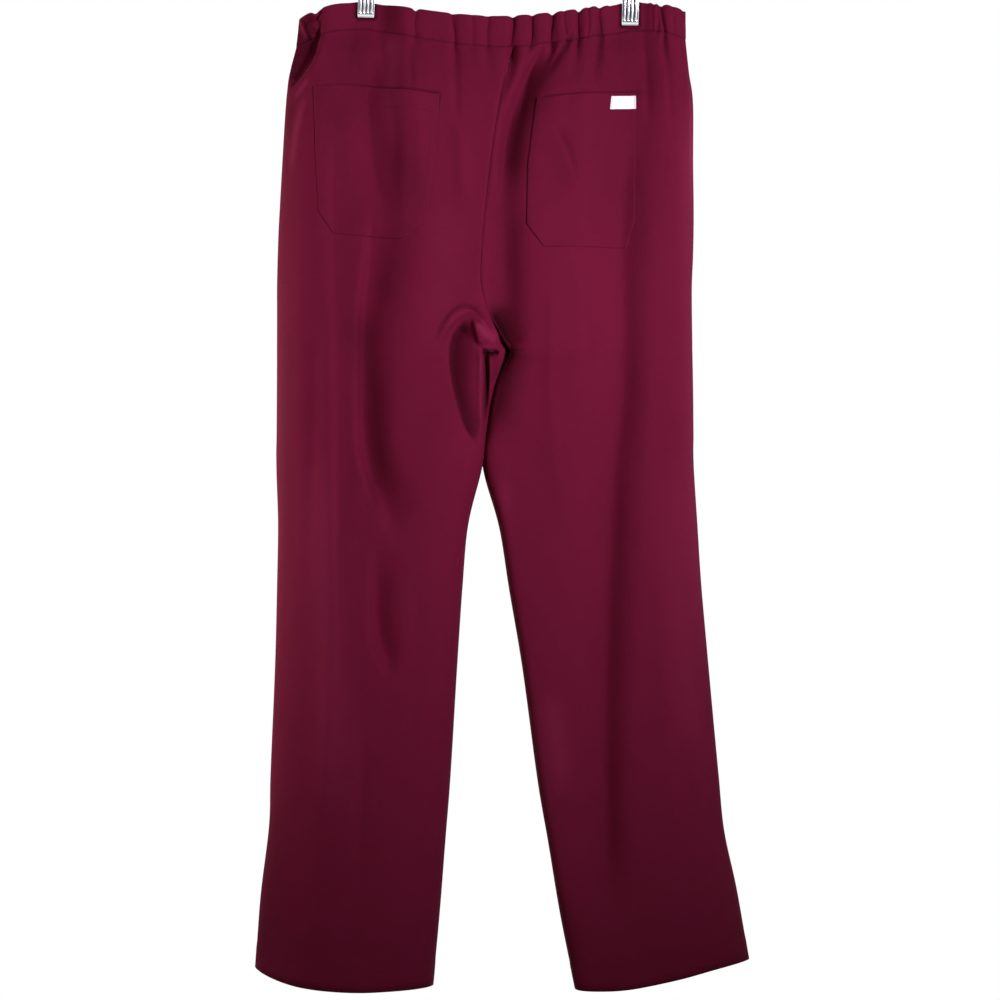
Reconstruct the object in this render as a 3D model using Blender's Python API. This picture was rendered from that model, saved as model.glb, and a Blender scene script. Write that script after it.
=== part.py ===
# Scrub trousers that hang by the waistband from a clip hanger.
#
# The frame: +Z up, +X to the wearer's right, and the back of the trousers towards -Y. The origin is the
# place where the hanger's hook rests on a rod. Lengths are in millimetres and become metres where a
# mesh is made.

import math

import bmesh
import bpy
import numpy as np

MM = 0.001

# Cloth
PANEL_WALL = 1.3
BAND_WALL = 2.6
POCKET_WALL = 1.3
LABEL_WALL = 0.6
FIT_GAP = 0.3
SEAM_PULL = 0.17  # how far each edge stands back from its seam, along the cloth
BAND_PULL = 0.27
LAID_GAP = 0.35  # between a panel and what is sewn on it
LABEL_GAP = 0.5
SQUARENESS = 2.6  # of the hanging tubes' sections: 2 is an ellipse

# Where the hanger's clips hold the waistband
CLIP_X = (-142.5, 142.5)
SAG_MIDDLE = 18.5
SAG_POWER = 1.6
DROP_LEFT = 20.0
DROP_LEFT_SPAN = 75.0
DROP_RIGHT = 10.0
DROP_RIGHT_SPAN = 60.0

# How the clips press back and front together: the height, the strength there, half the width that is
# pressed flat, and the width over which the pinch fades out sideways.
PINCH_DEPTH = 2.25  # from the middle plane to the outer face of the gripped cloth
PINCH = (
    (-136, 1, 12, 32),
    (-170, .93, 6, 35),
    (-200, .80, 0, 38),
    (-240, .6, 0, 41),
    (-330, .34, 0, 47),
    (-450, .16, 0, 49),
    (-640, 0, 0, 52),
)

# The outline by heights, waist to hem. Each half has its outseam and its inner edge, which is the
# centre seam above the fork and the inseam below it. `to_next` is the number of mesh rows down to the
# next height. `back` and `front` are how far the panels stand out from the middle plane. `closed` goes
# from 0, where back and front are apart at the inner edge, to 1, where they meet in an inseam. `sag`
# is the share of the waist's own sag that a height follows, and `belly` the droop between its ends.
# `shoulder` is the width over which a panel rounds out from its outseam, and `turn` the width over
# which it rounds in to its inseam.
LEVEL_COLUMNS = (
    "to_next",
    "left_out_x", "left_out_z", "left_in_x", "left_in_z",
    "right_in_x", "right_in_z", "right_out_x", "right_out_z",
    "lean", "back", "front", "shoulder", "turn", "front_shift", "closed", "sag", "belly",
)
LEVELS = (
    (2, -214, -114, 16, -112.5, 16, -112.5, 202, -105.5, 0, 17, 15, 100, 40, -4, 0, 1, 0),  # band top
    (1, -218, -144, 16, -146, 16, -146, 203, -136, 0, 19, 17, 100, 40, -4, 0, 1, 0),  # waist seam
    (2, -224, -168, 9, -176, 9, -176, 206, -167, 0, 30, 26, 105, 40, -2, 0, .7, 0),  # yoke
    (3, -228, -194, 2, -207, 2, -207, 210.5, -199, 0, 39, 33, 110, 40, 4, 0, .35, 0),  # pocket mouth
    (2, -233, -270, -9, -279, -9, -279, 211, -272, 0, 44, 38, 115, 40, 10, 0, .2, 0),  # pocket middle
    (1, -236, -324, -15, -340, -15, -340, 211.5, -335, 0, 46, 40, 116, 42, 14, 0, .1, 0),  # its corners
    (2, -237, -343, -17, -364, -17, -364, 211, -364, 0, 47, 41, 116, 43, 15, 0, 0, 0),  # pocket foot
    (1, -238.7, -404, -17, -408, -17, -408, 209.5, -404, 0, 47, 42, 115, 45, 14, 0, 0, 0),  # seat
    (1, -238.7, -424, -15, -430, -15, -430, 209.5, -424, 0, 47, 42, 114, 46, 12, .14, 0, 0),  # fork begins
    (1, -238.7, -441, -8, -449, -8, -449, 209.7, -441, 0, 47, 42, 113, 47, 8, .36, 0, 0),
    (1, -238.7, -457, 2, -464, 2, -464, 209.9, -457, 0, 47, 42, 112, 48, 3, .62, 0, 0),
    (1, -238.7, -473, 12.7, -475, 13.3, -475, 210.1, -473, 0, 47, 42, 111, 50, 0, 1, 0, 0),  # crotch point
    (1, -238.7, -490, 6, -492, 7, -492, 210.4, -490, 7, 46, 42, 110, 52, 0, 1, 0, 0),
    (2, -238.8, -512, -2.5, -513, -3.1, -513, 210.8, -512, 13, 45, 42, 108, 55, 0, 1, 0, 0),
    (2, -239.1, -560, -11.6, -560, -13.4, -560, 211.3, -560, 14, 43, 41, 105, 64, 0, 1, 0, 0),
    (1, -239.2, -606, -18.5, -606, -14.5, -608, 212, -606, 13, 41, 40, 102, 72, 0, 1, 0, 0),  # legs part
    (1, -237.6, -660, -32, -661, 1.2, -663, 215.5, -660, 10, 40, 39, 100, 80, 0, 1, 0, 1),
    (1, -238.7, -724, -38, -727, 12, -730, 219.5, -722, 6, 39, 38, 99, 86, 0, 1, 0, 2),
    (2, -240.3, -793, -42.8, -797, 24, -800, 225.5, -790, 3, 38, 37, 97, 90, 0, 1, 0, 3),  # knee
    (1, -246, -935, -52, -945, 44.5, -948, 238.5, -930, 0, 37, 36, 95, 92, 0, 1, 0, 6),
    (1, -247.5, -985.5, -56.3, -998, 54, -1002, 244.5, -990, 0, 36.5, 35.5, 94, 92, 0, 1, 0, 7),  # calf
    (1, -256.5, -1060, -62.5, -1077, 67, -1080, 258, -1053, 0, 36, 35, 94, 92, 0, 1, 0, 9),
    (0, -262, -1136, -69.8, -1156, 82.8, -1157.5, 271, -1128, 0, 36, 35, 94, 92, 0, 1, 0, 10),  # hem
)
WAIST_LEVEL = 1
MOUTH_LEVEL = 3
FOOT_LEVEL = 6
CROTCH_LEVEL = 11
CROTCH_BLEND = (4, 1)  # rows above the fork between which each half takes its own normals
ROUND_STEPS = 61  # samples along each rounded part of a row, and along its flat part
FLAT_STEPS = 41
BELLY = {"left": (1.4, 0.72), "right": (0.78, 1.6)}  # each leg's share of it, and how it is skewed

# Folds, as soft troughs (depth over 0) and ridges (under 0). Each runs through its points, x then z.
# `fade_in` and `fade_out` are the shares of its length over which it begins and ends.
FOLD_COLUMNS = ("depth", "width", "fade_in", "fade_out", "path")
FOLD_STEPS = 6  # samples along a path for each of its points
EDGE_FADE = 1.5  # how soon folds and gathers come in from an outseam's edge
BACK_FOLDS = (
    # below the left clip
    (7, 15, .1, .35, ((-140, -150), (-134, -230), (-131, -330), (-134, -430), (-136, -600))),
    (4, 10, .3, .4, ((-137, -590), (-128, -625), (-106, -652), (-76, -674))),
    (4, 11, .3, .3, ((-114, -670), (-114, -760), (-112, -800), (-100, -815))),
    (3, 9, .2, .4, ((-165, -300), (-163, -450), (-162, -620), (-165, -860))),
    (-3, 11, .3, .3, ((-152, -240), (-150, -420), (-150, -640))),
    # the twist at the band's left end
    (8, 9, .15, .5, ((-193, -112), (-195, -134), (-200, -158), (-210, -190))),
    (-4, 8, .3, .4, ((-205, -170), (-212, -200), (-217, -240), (-218, -300))),
    # the slanted fold between the pockets, and the broad one down to the fork
    (10, 10, .12, .3, ((59, -132), (44, -160), (26, -200), (13, -250), (0, -300))),
    (8, 15, .35, .2, ((6, -290), (14, -350), (15, -410), (13, -462))),
    # the arch over the left thigh and the hollow under it
    (-5, 9, .3, .3, ((-62, -470), (-52, -446), (-36, -430), (-18, -432), (-4, -444))),
    (12, 13, .25, .4, ((-36, -462), (-32, -500), (-30, -545), (-31, -600))),
    (3, 7, .4, .4, ((-66, -620), (-58, -634), (-50, -652))),
    # beside the right pocket and down the right leg
    (8, 14, .12, .25, ((150, -160), (151, -230), (149, -340), (146, -440), (141, -560))),
    (6, 14, .2, .45, ((141, -540), (137, -640), (134, -760), (133, -900), (134, -1020))),
    (3, 8, .3, .4, ((171, -150), (172, -200), (170, -265))),
    (-3, 16, .3, .3, ((182, -260), (186, -450), (196, -700))),
)
FRONT_FOLDS = (
    (7, 15, .1, .4, ((-140, -150), (-136, -260), (-132, -400), (-134, -600))),
    (8, 14, .1, .4, ((143, -150), (146, -260), (144, -420), (140, -620))),
    (6, 15, .2, .3, ((20, -150), (16, -260), (8, -360), (4, -430))),
    (4, 12, .3, .4, ((-78, -180), (-82, -320), (-92, -520), (-100, -760))),
    (4, 12, .3, .4, ((84, -180), (86, -320), (92, -520), (110, -780))),
    (3, 10, .3, .4, ((-178, -300), (-180, -520), (-186, -820))),
    (3, 10, .3, .4, ((182, -300), (186, -560), (200, -860))),
)

# The waistband's gathers: where the elastic pulls a valley into the cloth, and how deep and how far
# down it runs below the band.
GATHER_COLUMNS = ("x", "depth", "length", "slant")
BACK_GATHERS = {
    "left": ((-193, 2, 30, -4), (-160, 1.5, 60, -3), (-124, 2, 70, 2), (-89.6, 2.5, 50, 4),
             (-47.5, 3, 60, 6), (-12, 2.5, 50, 6)),
    "right": ((36.7, 4, 60, -10), (59.4, 5, 50, -12), (87.5, 4.5, 55, -8), (111.2, 4.5, 60, -6),
              (125.3, 3, 45, -2), (158, 4.5, 80, 3), (176, 3.5, 60, 2)),
}
FRONT_GATHERS_A_HALF = 7
FRONT_GATHER = (4, 60, 3)  # depth, length and sway of each
FRONT_PLACES = (0.22, 2.4)  # how far and how fast their spacing varies
FRONT_DEPTHS = (0.8, 0.3, 5)  # their least depth, how far it varies and how fast
FRONT_SWAY_RATE = 9
GATHER_WIDTH = 4.6
GATHER_SPREAD = 0.9  # how much wider a gather has become at its lower end
CENTRE_GATHER = (16, 4, 60, -8)
SCALLOP = 0.55  # share of a gather's depth by which the band's top edge dips there

# Back pockets: their two side edges, from mouth to foot, and the columns of cloth outside, across
# and inside of each.
POCKETS = {
    "left": {
        "columns": (4, 13, 7),
        "outer": (-197, -194.5, -191.4, -176.4),
        "inner": (-62.3, -67, -75.6, -103.3),
    },
    "right": {
        "columns": (6, 14, 4),
        "outer": (149.2, 147.5, 146.5, 137.6),
        "inner": (41.5, 31.5, 30.4, 48.8),
    },
}
POCKET_EDGE_LEVELS = (3, 4, 5, 6)
BELOW_POCKET = 4  # rows over which the columns spread evenly again
COLUMN_PITCH = {
    ("back", "left"): 10.0,
    ("back", "right"): 8.0,
    ("front", "left"): 11.0,
    ("front", "right"): 11.0,
}
EDGE_STEPS = 3
LEAST_STEPS = 2

LABEL_FROM_OUTER_EDGE = (2.5, 31.5)  # the label's two ends, along the pocket's mouth
LABEL_FROM_MOUTH = (4.0, 19.0)
LABEL_END_CLEARANCE = 1.0  # from the label's ends to the next mesh column
LABEL_PATCH = (2, 5)  # the rows and columns of the pocket's mesh that face as the label does

# The hanger, in its own frame: the hook's seat at the origin, the bar level. It hangs turned by TILT.
TILT = math.radians(1.7)
BAR_Z = -72.0
BAR_RADIUS = 2.4
BAR_HALF = 172.0
KNOB_RADIUS = 4.0
KNOB_SHOULDER = (2.4, 3.2)  # from the knob's middle, and its radius there
KNOB_NECK = 3.2  # from the knob's middle to where the bar begins
HOOK_WIRE = 1.75
HOOK_RADIUS = 19.0
HOOK_LEAD = ((0, 0), (0, 9), (-1.5, 16), (-8, 22))  # x and height above the wire's foot
HOOK_ARC = (212, -28)  # degrees
HOOK_STEPS = 21
HOOK_SECTION = 2
COLLAR_RADIUS = 6.0
COLLAR_HALF = 9.0
HANGER_CLIPS = (-139.1, 145.9)
JAW_HALF = 9.0
JAW_SHEET = 1.2
# One jaw's middle line, y then z, from its finger grip down past the bar to its lip
JAW_LINE = ((14, -45), (8.0, -64), (7.2, -74), (5.2, -86), (3.95, -92), (3.95, -114), (5.1, -117.5))
SPRING_RADIUS = 6.1
SPRING_HALF = 6.5
TURNED_STEPS = 16

SHARP_ANGLE = math.radians(40)
MERGE_DISTANCE = 1e-4

# Each finish: colour, roughness, metallic and sheen
FINISHES = {
    "poplin": ((0.117, 0.011, 0.032, 1.0), 0.85, 0.0, 0.3),
    "woven_label": ((0.83, 0.80, 0.80, 1.0), 0.7, 0.0, 0.0),
    "chrome": ((0.72, 0.73, 0.75, 1.0), 0.18, 1.0, 0.0),
}


# ---------------------------------------------------------------- the form


def curve_through(knots, values, at):
    """A smooth curve through the values at the knots."""
    knots = np.asarray(knots, float)
    values = np.asarray(values, float)
    slopes = np.gradient(values, knots)
    i = np.clip(np.searchsorted(knots, at, side="right") - 1, 0, len(knots) - 2)
    span = knots[i + 1] - knots[i]
    t = (at - knots[i]) / span
    return (
        (2 * t**3 - 3 * t**2 + 1) * values[i]
        + (t**3 - 2 * t**2 + t) * span * slopes[i]
        + (3 * t**2 - 2 * t**3) * values[i + 1]
        + (t**3 - t**2) * span * slopes[i + 1]
    )


def smooth_step(value):
    t = np.clip(value, 0.0, 1.0)
    return t * t * (3 - 2 * t)


LEVEL_ROWS = [0] + list(np.cumsum([level[0] for level in LEVELS[:-1]]))
WAIST_ROW = LEVEL_ROWS[WAIST_LEVEL]
MOUTH_ROW = LEVEL_ROWS[MOUTH_LEVEL]
FOOT_ROW = LEVEL_ROWS[FOOT_LEVEL]
HEM_ROW = LEVEL_ROWS[-1]


def level_at(row):
    """The outline's values at a row, by name."""
    return {
        name: float(curve_through(LEVEL_ROWS, [level[k] for level in LEVELS], row))
        for k, name in enumerate(LEVEL_COLUMNS)
        if name != "to_next"
    }


def waist_drop(x):
    """How far the waist hangs below the line between the clips."""
    left, right = CLIP_X
    middle, half = (left + right) / 2, (right - left) / 2
    between = SAG_MIDDLE * (1 - np.abs((x - middle) / half) ** SAG_POWER)
    out_left = DROP_LEFT * ((left - x) / DROP_LEFT_SPAN) ** 2
    out_right = DROP_RIGHT * ((x - right) / DROP_RIGHT_SPAN) ** 2
    return np.where(x < left, out_left, np.where(x > right, out_right, between))


def fold_depth(x, z, folds):
    """The depth that all the folds together have at points (x, z)."""
    total = np.zeros_like(x)
    for row in folds:
        fold = dict(zip(FOLD_COLUMNS, row))
        spine = np.array(fold["path"], float)
        knots = np.arange(len(spine))
        at = np.linspace(0, len(spine) - 1, FOLD_STEPS * len(spine))
        line = np.stack([curve_through(knots, spine[:, k], at) for k in (0, 1)], axis=1)
        nearest = np.full(x.shape, np.inf)
        along = np.zeros_like(x)
        for k in range(len(line) - 1):
            start, step = line[k], line[k + 1] - line[k]
            t = np.clip(((x - start[0]) * step[0] + (z - start[1]) * step[1]) / (step @ step), 0, 1)
            gap = np.hypot(x - start[0] - t * step[0], z - start[1] - t * step[1])
            closer = gap < nearest
            nearest = np.where(closer, gap, nearest)
            along = np.where(closer, (k + t) / (len(line) - 1), along)
        ends = smooth_step(along / fold["fade_in"]) * smooth_step((1 - along) / fold["fade_out"])
        total += fold["depth"] * ends * np.exp(-((nearest / fold["width"]) ** 2))
    return total


def front_gathers():
    """Gathers spread unevenly over the front of the waist."""
    depth, length, sway = FRONT_GATHER
    swing, pace = FRONT_PLACES
    least, change, rate = FRONT_DEPTHS
    ends = level_at(WAIST_ROW)
    seam = ends["left_in_x"] + ends["front_shift"]
    rows = {}
    for side in ("left", "right"):
        steps = np.arange(1, FRONT_GATHERS_A_HALF)
        shares = (steps + swing * np.sin(pace * steps)) / FRONT_GATHERS_A_HALF
        edge = ends[side + "_out_x"]
        rows[side] = tuple(
            (
                seam + (edge - seam) * share,
                depth * (least + change * math.sin(rate * share)),
                length,
                sway * math.sin(FRONT_SWAY_RATE * share),
            )
            for share in shares
        )
    return rows


GATHERS = {"back": BACK_GATHERS, "front": front_gathers()}


def gather_depth(face, x, z, seam_z):
    """The depth of the waist's gathers. They run through the band and die away under its seam."""
    rows = GATHERS[face]["left"] + GATHERS[face]["right"] + (CENTRE_GATHER,)
    total = np.zeros_like(x)
    for row in rows:
        gather = dict(zip(GATHER_COLUMNS, row))
        below = np.clip((seam_z - z) / gather["length"], 0, 1)
        width = GATHER_WIDTH * (1 + GATHER_SPREAD * below)
        aside = x - gather["x"] - gather["slant"] * below
        total += gather["depth"] * (1 - smooth_step(below)) * np.exp(-((aside / width) ** 2))
    return total


def pinch_at(x, z):
    """1 where a clip presses back and front together, fading out sideways and downwards."""
    down, strength, flat, reach = np.array(PINCH, float).T
    here = [np.interp(-z, -down, values) for values in (strength, flat, reach)]
    total = np.zeros_like(x)
    for clip in CLIP_X:
        total = np.maximum(total, 1 - smooth_step((np.abs(x - clip) - here[1]) / here[2]))
    return here[0] * total


def gather_columns(face, side):
    """Where the mesh columns stand along the waist: on each gather's valley and evenly between. They
    stand closer at the outseam, where the waist turns sharply."""
    ends = level_at(WAIST_ROW)
    shift = ends["front_shift"] if face == "front" else 0.0
    edge = ends[side + "_out_x"]
    valleys = sorted((row[0] for row in GATHERS[face][side]), key=lambda x: abs(x - edge))
    steps = np.arange(EDGE_STEPS + 1)
    columns = list(edge + (valleys[0] - edge) * (1 - np.cos(math.pi / 2 * steps / EDGE_STEPS)))
    for start, stop in zip(valleys, valleys[1:] + [ends[side + "_in_x"] + shift]):
        steps = max(LEAST_STEPS, round(abs(stop - start) / COLUMN_PITCH[face, side]))
        columns += [start + (stop - start) * k / steps for k in range(1, steps + 1)]
    return np.array(columns)


WAIST_COLUMNS = {
    (face, side): gather_columns(face, side) for face in ("back", "front") for side in ("left", "right")
}


def column_count(face, side):
    return len(WAIST_COLUMNS[face, side]) - 1


def base_row(face, side, row):
    """A fine line along one row of a panel, from the outseam to the inner edge: x, y and length."""
    level = level_at(row)
    shift = level["front_shift"] if face == "front" else 0.0
    out_x = level[side + "_out_x"]
    in_x = level[side + "_in_x"] + shift
    closed = min(max(level["closed"], 0.0), 1.0)
    power = 2 / SQUARENESS
    inward = np.sign(in_x - out_x)
    outer = np.linspace(0, math.pi / 2, ROUND_STEPS)
    inner = np.linspace(0, math.pi / 2 * closed, ROUND_STEPS)
    flat_end = in_x - inward * level["turn"] * np.sin(inner[-1]) ** power
    flat = np.linspace(out_x + inward * level["shoulder"], flat_end, FLAT_STEPS)[1:-1]
    turn = np.concatenate([outer, np.full(len(flat), math.pi / 2), math.pi / 2 + inner])
    x = np.concatenate([
        out_x + inward * level["shoulder"] * (1 - np.cos(outer).clip(0) ** power),
        flat,
        flat_end + inward * level["turn"] * np.sin(inner) ** power,
    ])
    facing = np.sin(turn).clip(0)
    depth = level[face] * facing**power
    if closed == 1.0:
        depth[-1] = 0.0
    length = np.concatenate([[0], np.cumsum(np.hypot(np.diff(x), np.diff(depth)))])
    return level, x, depth, facing, length


def column_lengths(face, side, row, x, length):
    """Where each mesh column crosses this row, as a length along it."""
    count = column_count(face, side)
    outward = np.sign(x[-1] - x[0])

    def at_x(places):
        return np.interp(outward * np.asarray(places), outward * x, length)

    even = np.linspace(0, length[-1], count + 1)
    waist = at_x(WAIST_COLUMNS[face, side])
    waist[0], waist[-1] = 0.0, length[-1]
    zones = even
    if face == "back":
        pocket = POCKETS[side]
        outer, across, inner = pocket["columns"]
        rows = [LEVEL_ROWS[k] for k in POCKET_EDGE_LEVELS]
        edges = at_x([np.interp(row, rows, pocket["outer"]), np.interp(row, rows, pocket["inner"])])
        zones = np.interp(
            np.arange(count + 1), (0, outer, outer + across, count), (0, edges[0], edges[1], length[-1])
        )
        zones += (even - zones) * smooth_step((row - FOOT_ROW) / BELOW_POCKET)
    share = smooth_step((row - WAIST_ROW) / (MOUTH_ROW - WAIST_ROW))
    return waist + (zones - waist) * share


def surface_row(face, side, row, columns=None):
    """The middle points of the cloth's outer face along a row, at the panel's mesh columns."""
    level, x_line, depth_line, facing_line, length = base_row(face, side, row)
    places = column_lengths(face, side, row, x_line, length)
    if columns is not None:
        places = np.interp(columns, np.arange(len(places)), places)
    x = np.interp(places, length, x_line)
    depth = np.interp(places, length, depth_line)
    facing = np.interp(places, length, facing_line)
    share = (x - x_line[0]) / (x_line[-1] - x_line[0])
    out_z, in_z = level[side + "_out_z"], level[side + "_in_z"]
    drop = waist_drop(x)
    own_sag = drop - waist_drop(x_line[0]) * (1 - share) - waist_drop(x_line[-1]) * share
    z = out_z + (in_z - out_z) * share - level["sag"] * own_sag
    size, skew = BELLY[side]
    z -= level["belly"] * size * np.sin(math.pi * share.clip(0, 1) ** skew)
    seam = level_at(WAIST_ROW)
    seam_z = seam[side + "_out_z"] + (seam[side + "_in_z"] - seam[side + "_out_z"]) * share - own_sag
    gathers = gather_depth(face, x, z, seam_z)
    folds = fold_depth(x, z, BACK_FOLDS if face == "back" else FRONT_FOLDS)
    inward = (gathers + folds) * np.clip(EDGE_FADE * facing, 0, 1)
    pressed = depth + (np.minimum(depth, PINCH_DEPTH) - depth) * pinch_at(x, z)
    formed = np.maximum(pressed - inward * (1 - pinch_at(x, z)), np.minimum(depth, PINCH_DEPTH))
    sign = -1.0 if face == "back" else 1.0
    lean = level["lean"] * (-1.0 if side == "left" else 1.0)
    if row < WAIST_ROW:
        z -= SCALLOP * gathers * (1 - row / WAIST_ROW)
    return np.stack([x, sign * formed + lean * share, z], axis=1)


def surface(face, side, first, last):
    return np.array([surface_row(face, side, row) for row in range(first, last + 1)])


def unit(vectors):
    return vectors / np.maximum(np.linalg.norm(vectors, axis=-1, keepdims=True), 1e-9)


def outward_normals(points, face, side):
    """The normals of a grid of points, pointing out of the garment."""
    across = np.gradient(points, axis=1)
    down = np.gradient(points, axis=0)
    normals = unit(np.cross(across, down))
    turned = (face == "back") == (side == "left")
    return -normals if turned else normals


def joined_normals(grids):
    """Panel normals, made the same on both sides of each seam, so that the walls match there."""
    normals = {key: outward_normals(points, *key) for key, points in grids.items()}
    for one in normals.values():
        one[: WAIST_ROW + 1, :, 2] = 0.0  # the band stands upright, and meets the panels edge to edge
    fork = LEVEL_ROWS[CROTCH_LEVEL]
    for side in ("left", "right"):
        pair = [normals["back", side], normals["front", side]]
        outseam = unit(pair[0][:, 0] + pair[1][:, 0])
        inseam = unit(pair[0][fork:, -1] + pair[1][fork:, -1])
        for one in pair:
            one[:, 0] = outseam
            one[fork:, -1] = inseam
    for face in ("back", "front"):
        pair = [normals[face, "left"], normals[face, "right"]]
        shared = unit(pair[0][:fork, -1] + pair[1][:fork, -1])
        own = smooth_step(np.interp(np.arange(fork), fork - np.array(CROTCH_BLEND), (0, 1)))[:, None]
        for one in pair:
            one[:fork, -1] = unit(one[:fork, -1] * own + shared * (1 - own))
    return {key: unit(one) for key, one in normals.items()}


def pulled_back(points, amount, edges):
    """The grid with the named edges drawn in along the cloth, which leaves the gap at a seam."""
    moved = points.copy()
    if "out" in edges:
        moved[:, 0] += amount * unit(points[:, 1] - points[:, 0])
    if "in" in edges:
        moved[:, -1] += amount * unit(points[:, -2] - points[:, -1])
    if "top" in edges:
        moved[0] += amount * unit(points[1] - points[0])
    if "bottom" in edges:
        moved[-1] += amount * unit(points[-2] - points[-1])
    return moved


# ---------------------------------------------------------------- making meshes


def material(name):
    colour, roughness, metallic, sheen = FINISHES[name]
    made = bpy.data.materials.new(name)
    made.use_nodes = True
    shader = made.node_tree.nodes["Principled BSDF"]
    shader.inputs["Base Color"].default_value = colour
    shader.inputs["Roughness"].default_value = roughness
    shader.inputs["Metallic"].default_value = metallic
    shader.inputs["Sheen Weight"].default_value = sheen
    return made


def add_object(name, mesh_builder, finish):
    """Turns a bmesh in millimetres into an object in metres."""
    bmesh.ops.scale(mesh_builder, vec=(MM, MM, MM), verts=mesh_builder.verts)
    mesh = bpy.data.meshes.new(name)
    mesh_builder.to_mesh(mesh)
    mesh_builder.free()
    mesh.materials.append(finish)
    mesh.shade_smooth()
    mesh.set_sharp_from_angle(angle=SHARP_ANGLE)
    made = bpy.data.objects.new(name, mesh)
    bpy.context.scene.collection.objects.link(made)
    return made


def wall(name, outer, inner, finish, ring=False):
    """A closed wall between two grids of points: the outer face, and the same face moved in."""
    rows, columns = outer.shape[:2]
    builder = bmesh.new()
    bmesh.ops.create_grid(builder, x_segments=columns - 1, y_segments=rows - 1, size=1.0)
    sheet = list(builder.verts)
    made = bmesh.ops.extrude_face_region(builder, geom=builder.faces[:])
    lifted = [item for item in made["geom"] if isinstance(item, bmesh.types.BMVert)]
    if ring:
        ends = [f for f in builder.faces if all(abs(vert.co.x) > 1 - MERGE_DISTANCE for vert in f.verts)]
        bmesh.ops.delete(builder, geom=ends, context="FACES_ONLY")
    for verts, grid in ((sheet, outer), (lifted, inner)):
        for vert in verts:
            column = round((vert.co.x + 1) / 2 * (columns - 1))
            row = round((vert.co.y + 1) / 2 * (rows - 1))
            vert.co = grid[row, column]
    if ring:
        bmesh.ops.remove_doubles(builder, verts=builder.verts, dist=MERGE_DISTANCE)
    bmesh.ops.triangulate(builder, faces=builder.faces, quad_method="FIXED")
    bmesh.ops.recalc_face_normals(builder, faces=builder.faces)
    return add_object(name, builder, finish)


def lathe(name, profile, finish, place):
    """A solid turned round the X axis from (x, radius) points, then placed. A closed profile that
    stays off the axis makes a ring."""
    builder = bmesh.new()
    verts = [builder.verts.new((x, 0, radius)) for x, radius in profile]
    closed = profile[0][1] > 0
    pairs = list(zip(verts, verts[1:])) + ([(verts[-1], verts[0])] if closed else [])
    edges = [builder.edges.new(pair) for pair in pairs]
    bmesh.ops.spin(
        builder, geom=verts + edges, axis=(1, 0, 0), cent=(0, 0, 0), angle=2 * math.pi,
        steps=TURNED_STEPS, use_merge=True,
    )
    bmesh.ops.remove_doubles(builder, verts=builder.verts, dist=MERGE_DISTANCE)
    bmesh.ops.recalc_face_normals(builder, faces=builder.faces)
    for vert in builder.verts:
        vert.co = hung(place[0] + vert.co.x, place[1] + vert.co.y, place[2] + vert.co.z)
    return add_object(name, builder, finish)


def hung(x, y, z):
    """A point of the hanger's own frame, turned by the hanger's tilt about the hook's seat."""
    return (
        x * math.cos(TILT) + z * math.sin(TILT),
        y,
        -x * math.sin(TILT) + z * math.cos(TILT),
    )


# ---------------------------------------------------------------- the garment


def make_panels(grids, normals, cloth):
    """The four leg panels. Returns their outer points as built, for what is sewn on them."""
    built = {}
    for key, points in grids.items():
        face, side = key
        out = normals[key][WAIST_ROW:]
        outer = pulled_back(points[WAIST_ROW:], SEAM_PULL, ("out", "in", "top"))
        wall(f"{face}_{side}", outer, outer - PANEL_WALL * out, cloth)
        built[key] = (outer, out)
    return built


def make_waistband(grids, normals, cloth):
    """One ring of band, from the centre back round the wearer's left, the front and the right."""
    rings = []
    for grid in (grids, normals):
        parts = [
            grid["back", "left"][:, ::-1],
            grid["front", "left"][:, 1:],
            grid["front", "right"][:, ::-1][:, 1:],
            grid["back", "right"][:, 1:],
        ]
        rings.append(np.concatenate(parts, axis=1)[: WAIST_ROW + 1])
    ring = pulled_back(rings[0], BAND_PULL, ("bottom",))
    proud = (BAND_WALL - PANEL_WALL) / 2
    outer = ring + proud * rings[1]
    wall("waistband", outer, outer - BAND_WALL * rings[1], cloth, ring=True)


def make_pocket(side, built, cloth):
    """A patch pocket, made from the panel's own points and moved out."""
    outer, across, _ = POCKETS[side]["columns"]
    points, normals = built["back", side]
    rows = slice(MOUTH_ROW - WAIST_ROW, FOOT_ROW - WAIST_ROW + 1)  # the panels begin at the waist
    columns = slice(outer, outer + across + 1)
    base, out = points[rows, columns], normals[rows, columns]
    inner = base + LAID_GAP * out
    outside = inner + POCKET_WALL * out
    wall(f"pocket_{side}", outside, inner, cloth)
    return outside, out


def make_label(pocket, normals, finish):
    """A small woven label over the upper outer corner of the right pocket."""
    mouth = pocket[0]
    length = np.concatenate([[0], np.cumsum(np.linalg.norm(np.diff(mouth, axis=0), axis=1))])
    first, last = LABEL_FROM_OUTER_EDGE
    inside = length[(length > first + LABEL_END_CLEARANCE) & (length < last - LABEL_END_CLEARANCE)]
    places = np.concatenate([[first], inside, [last]])
    drops = np.linalg.norm(pocket[1] - pocket[0], axis=1)
    rows = []
    for drop in LABEL_FROM_MOUTH:
        line = []
        for place in places:
            column = np.interp(place, length, np.arange(len(length)))
            k = min(int(column), len(length) - 2)
            t = column - k
            share = drop / drops[k]
            top = mouth[k] * (1 - t) + mouth[k + 1] * t
            low = pocket[1, k] * (1 - t) + pocket[1, k + 1] * t
            line.append(top * (1 - share) + low * share)
        rows.append(line)
    base = np.array(rows)
    down, across = LABEL_PATCH
    out = np.mean(normals[:down, :across], axis=(0, 1))
    inner = base + LABEL_GAP * out
    wall("label", inner + LABEL_WALL * out, inner, finish)


# ---------------------------------------------------------------- the hanger


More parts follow.
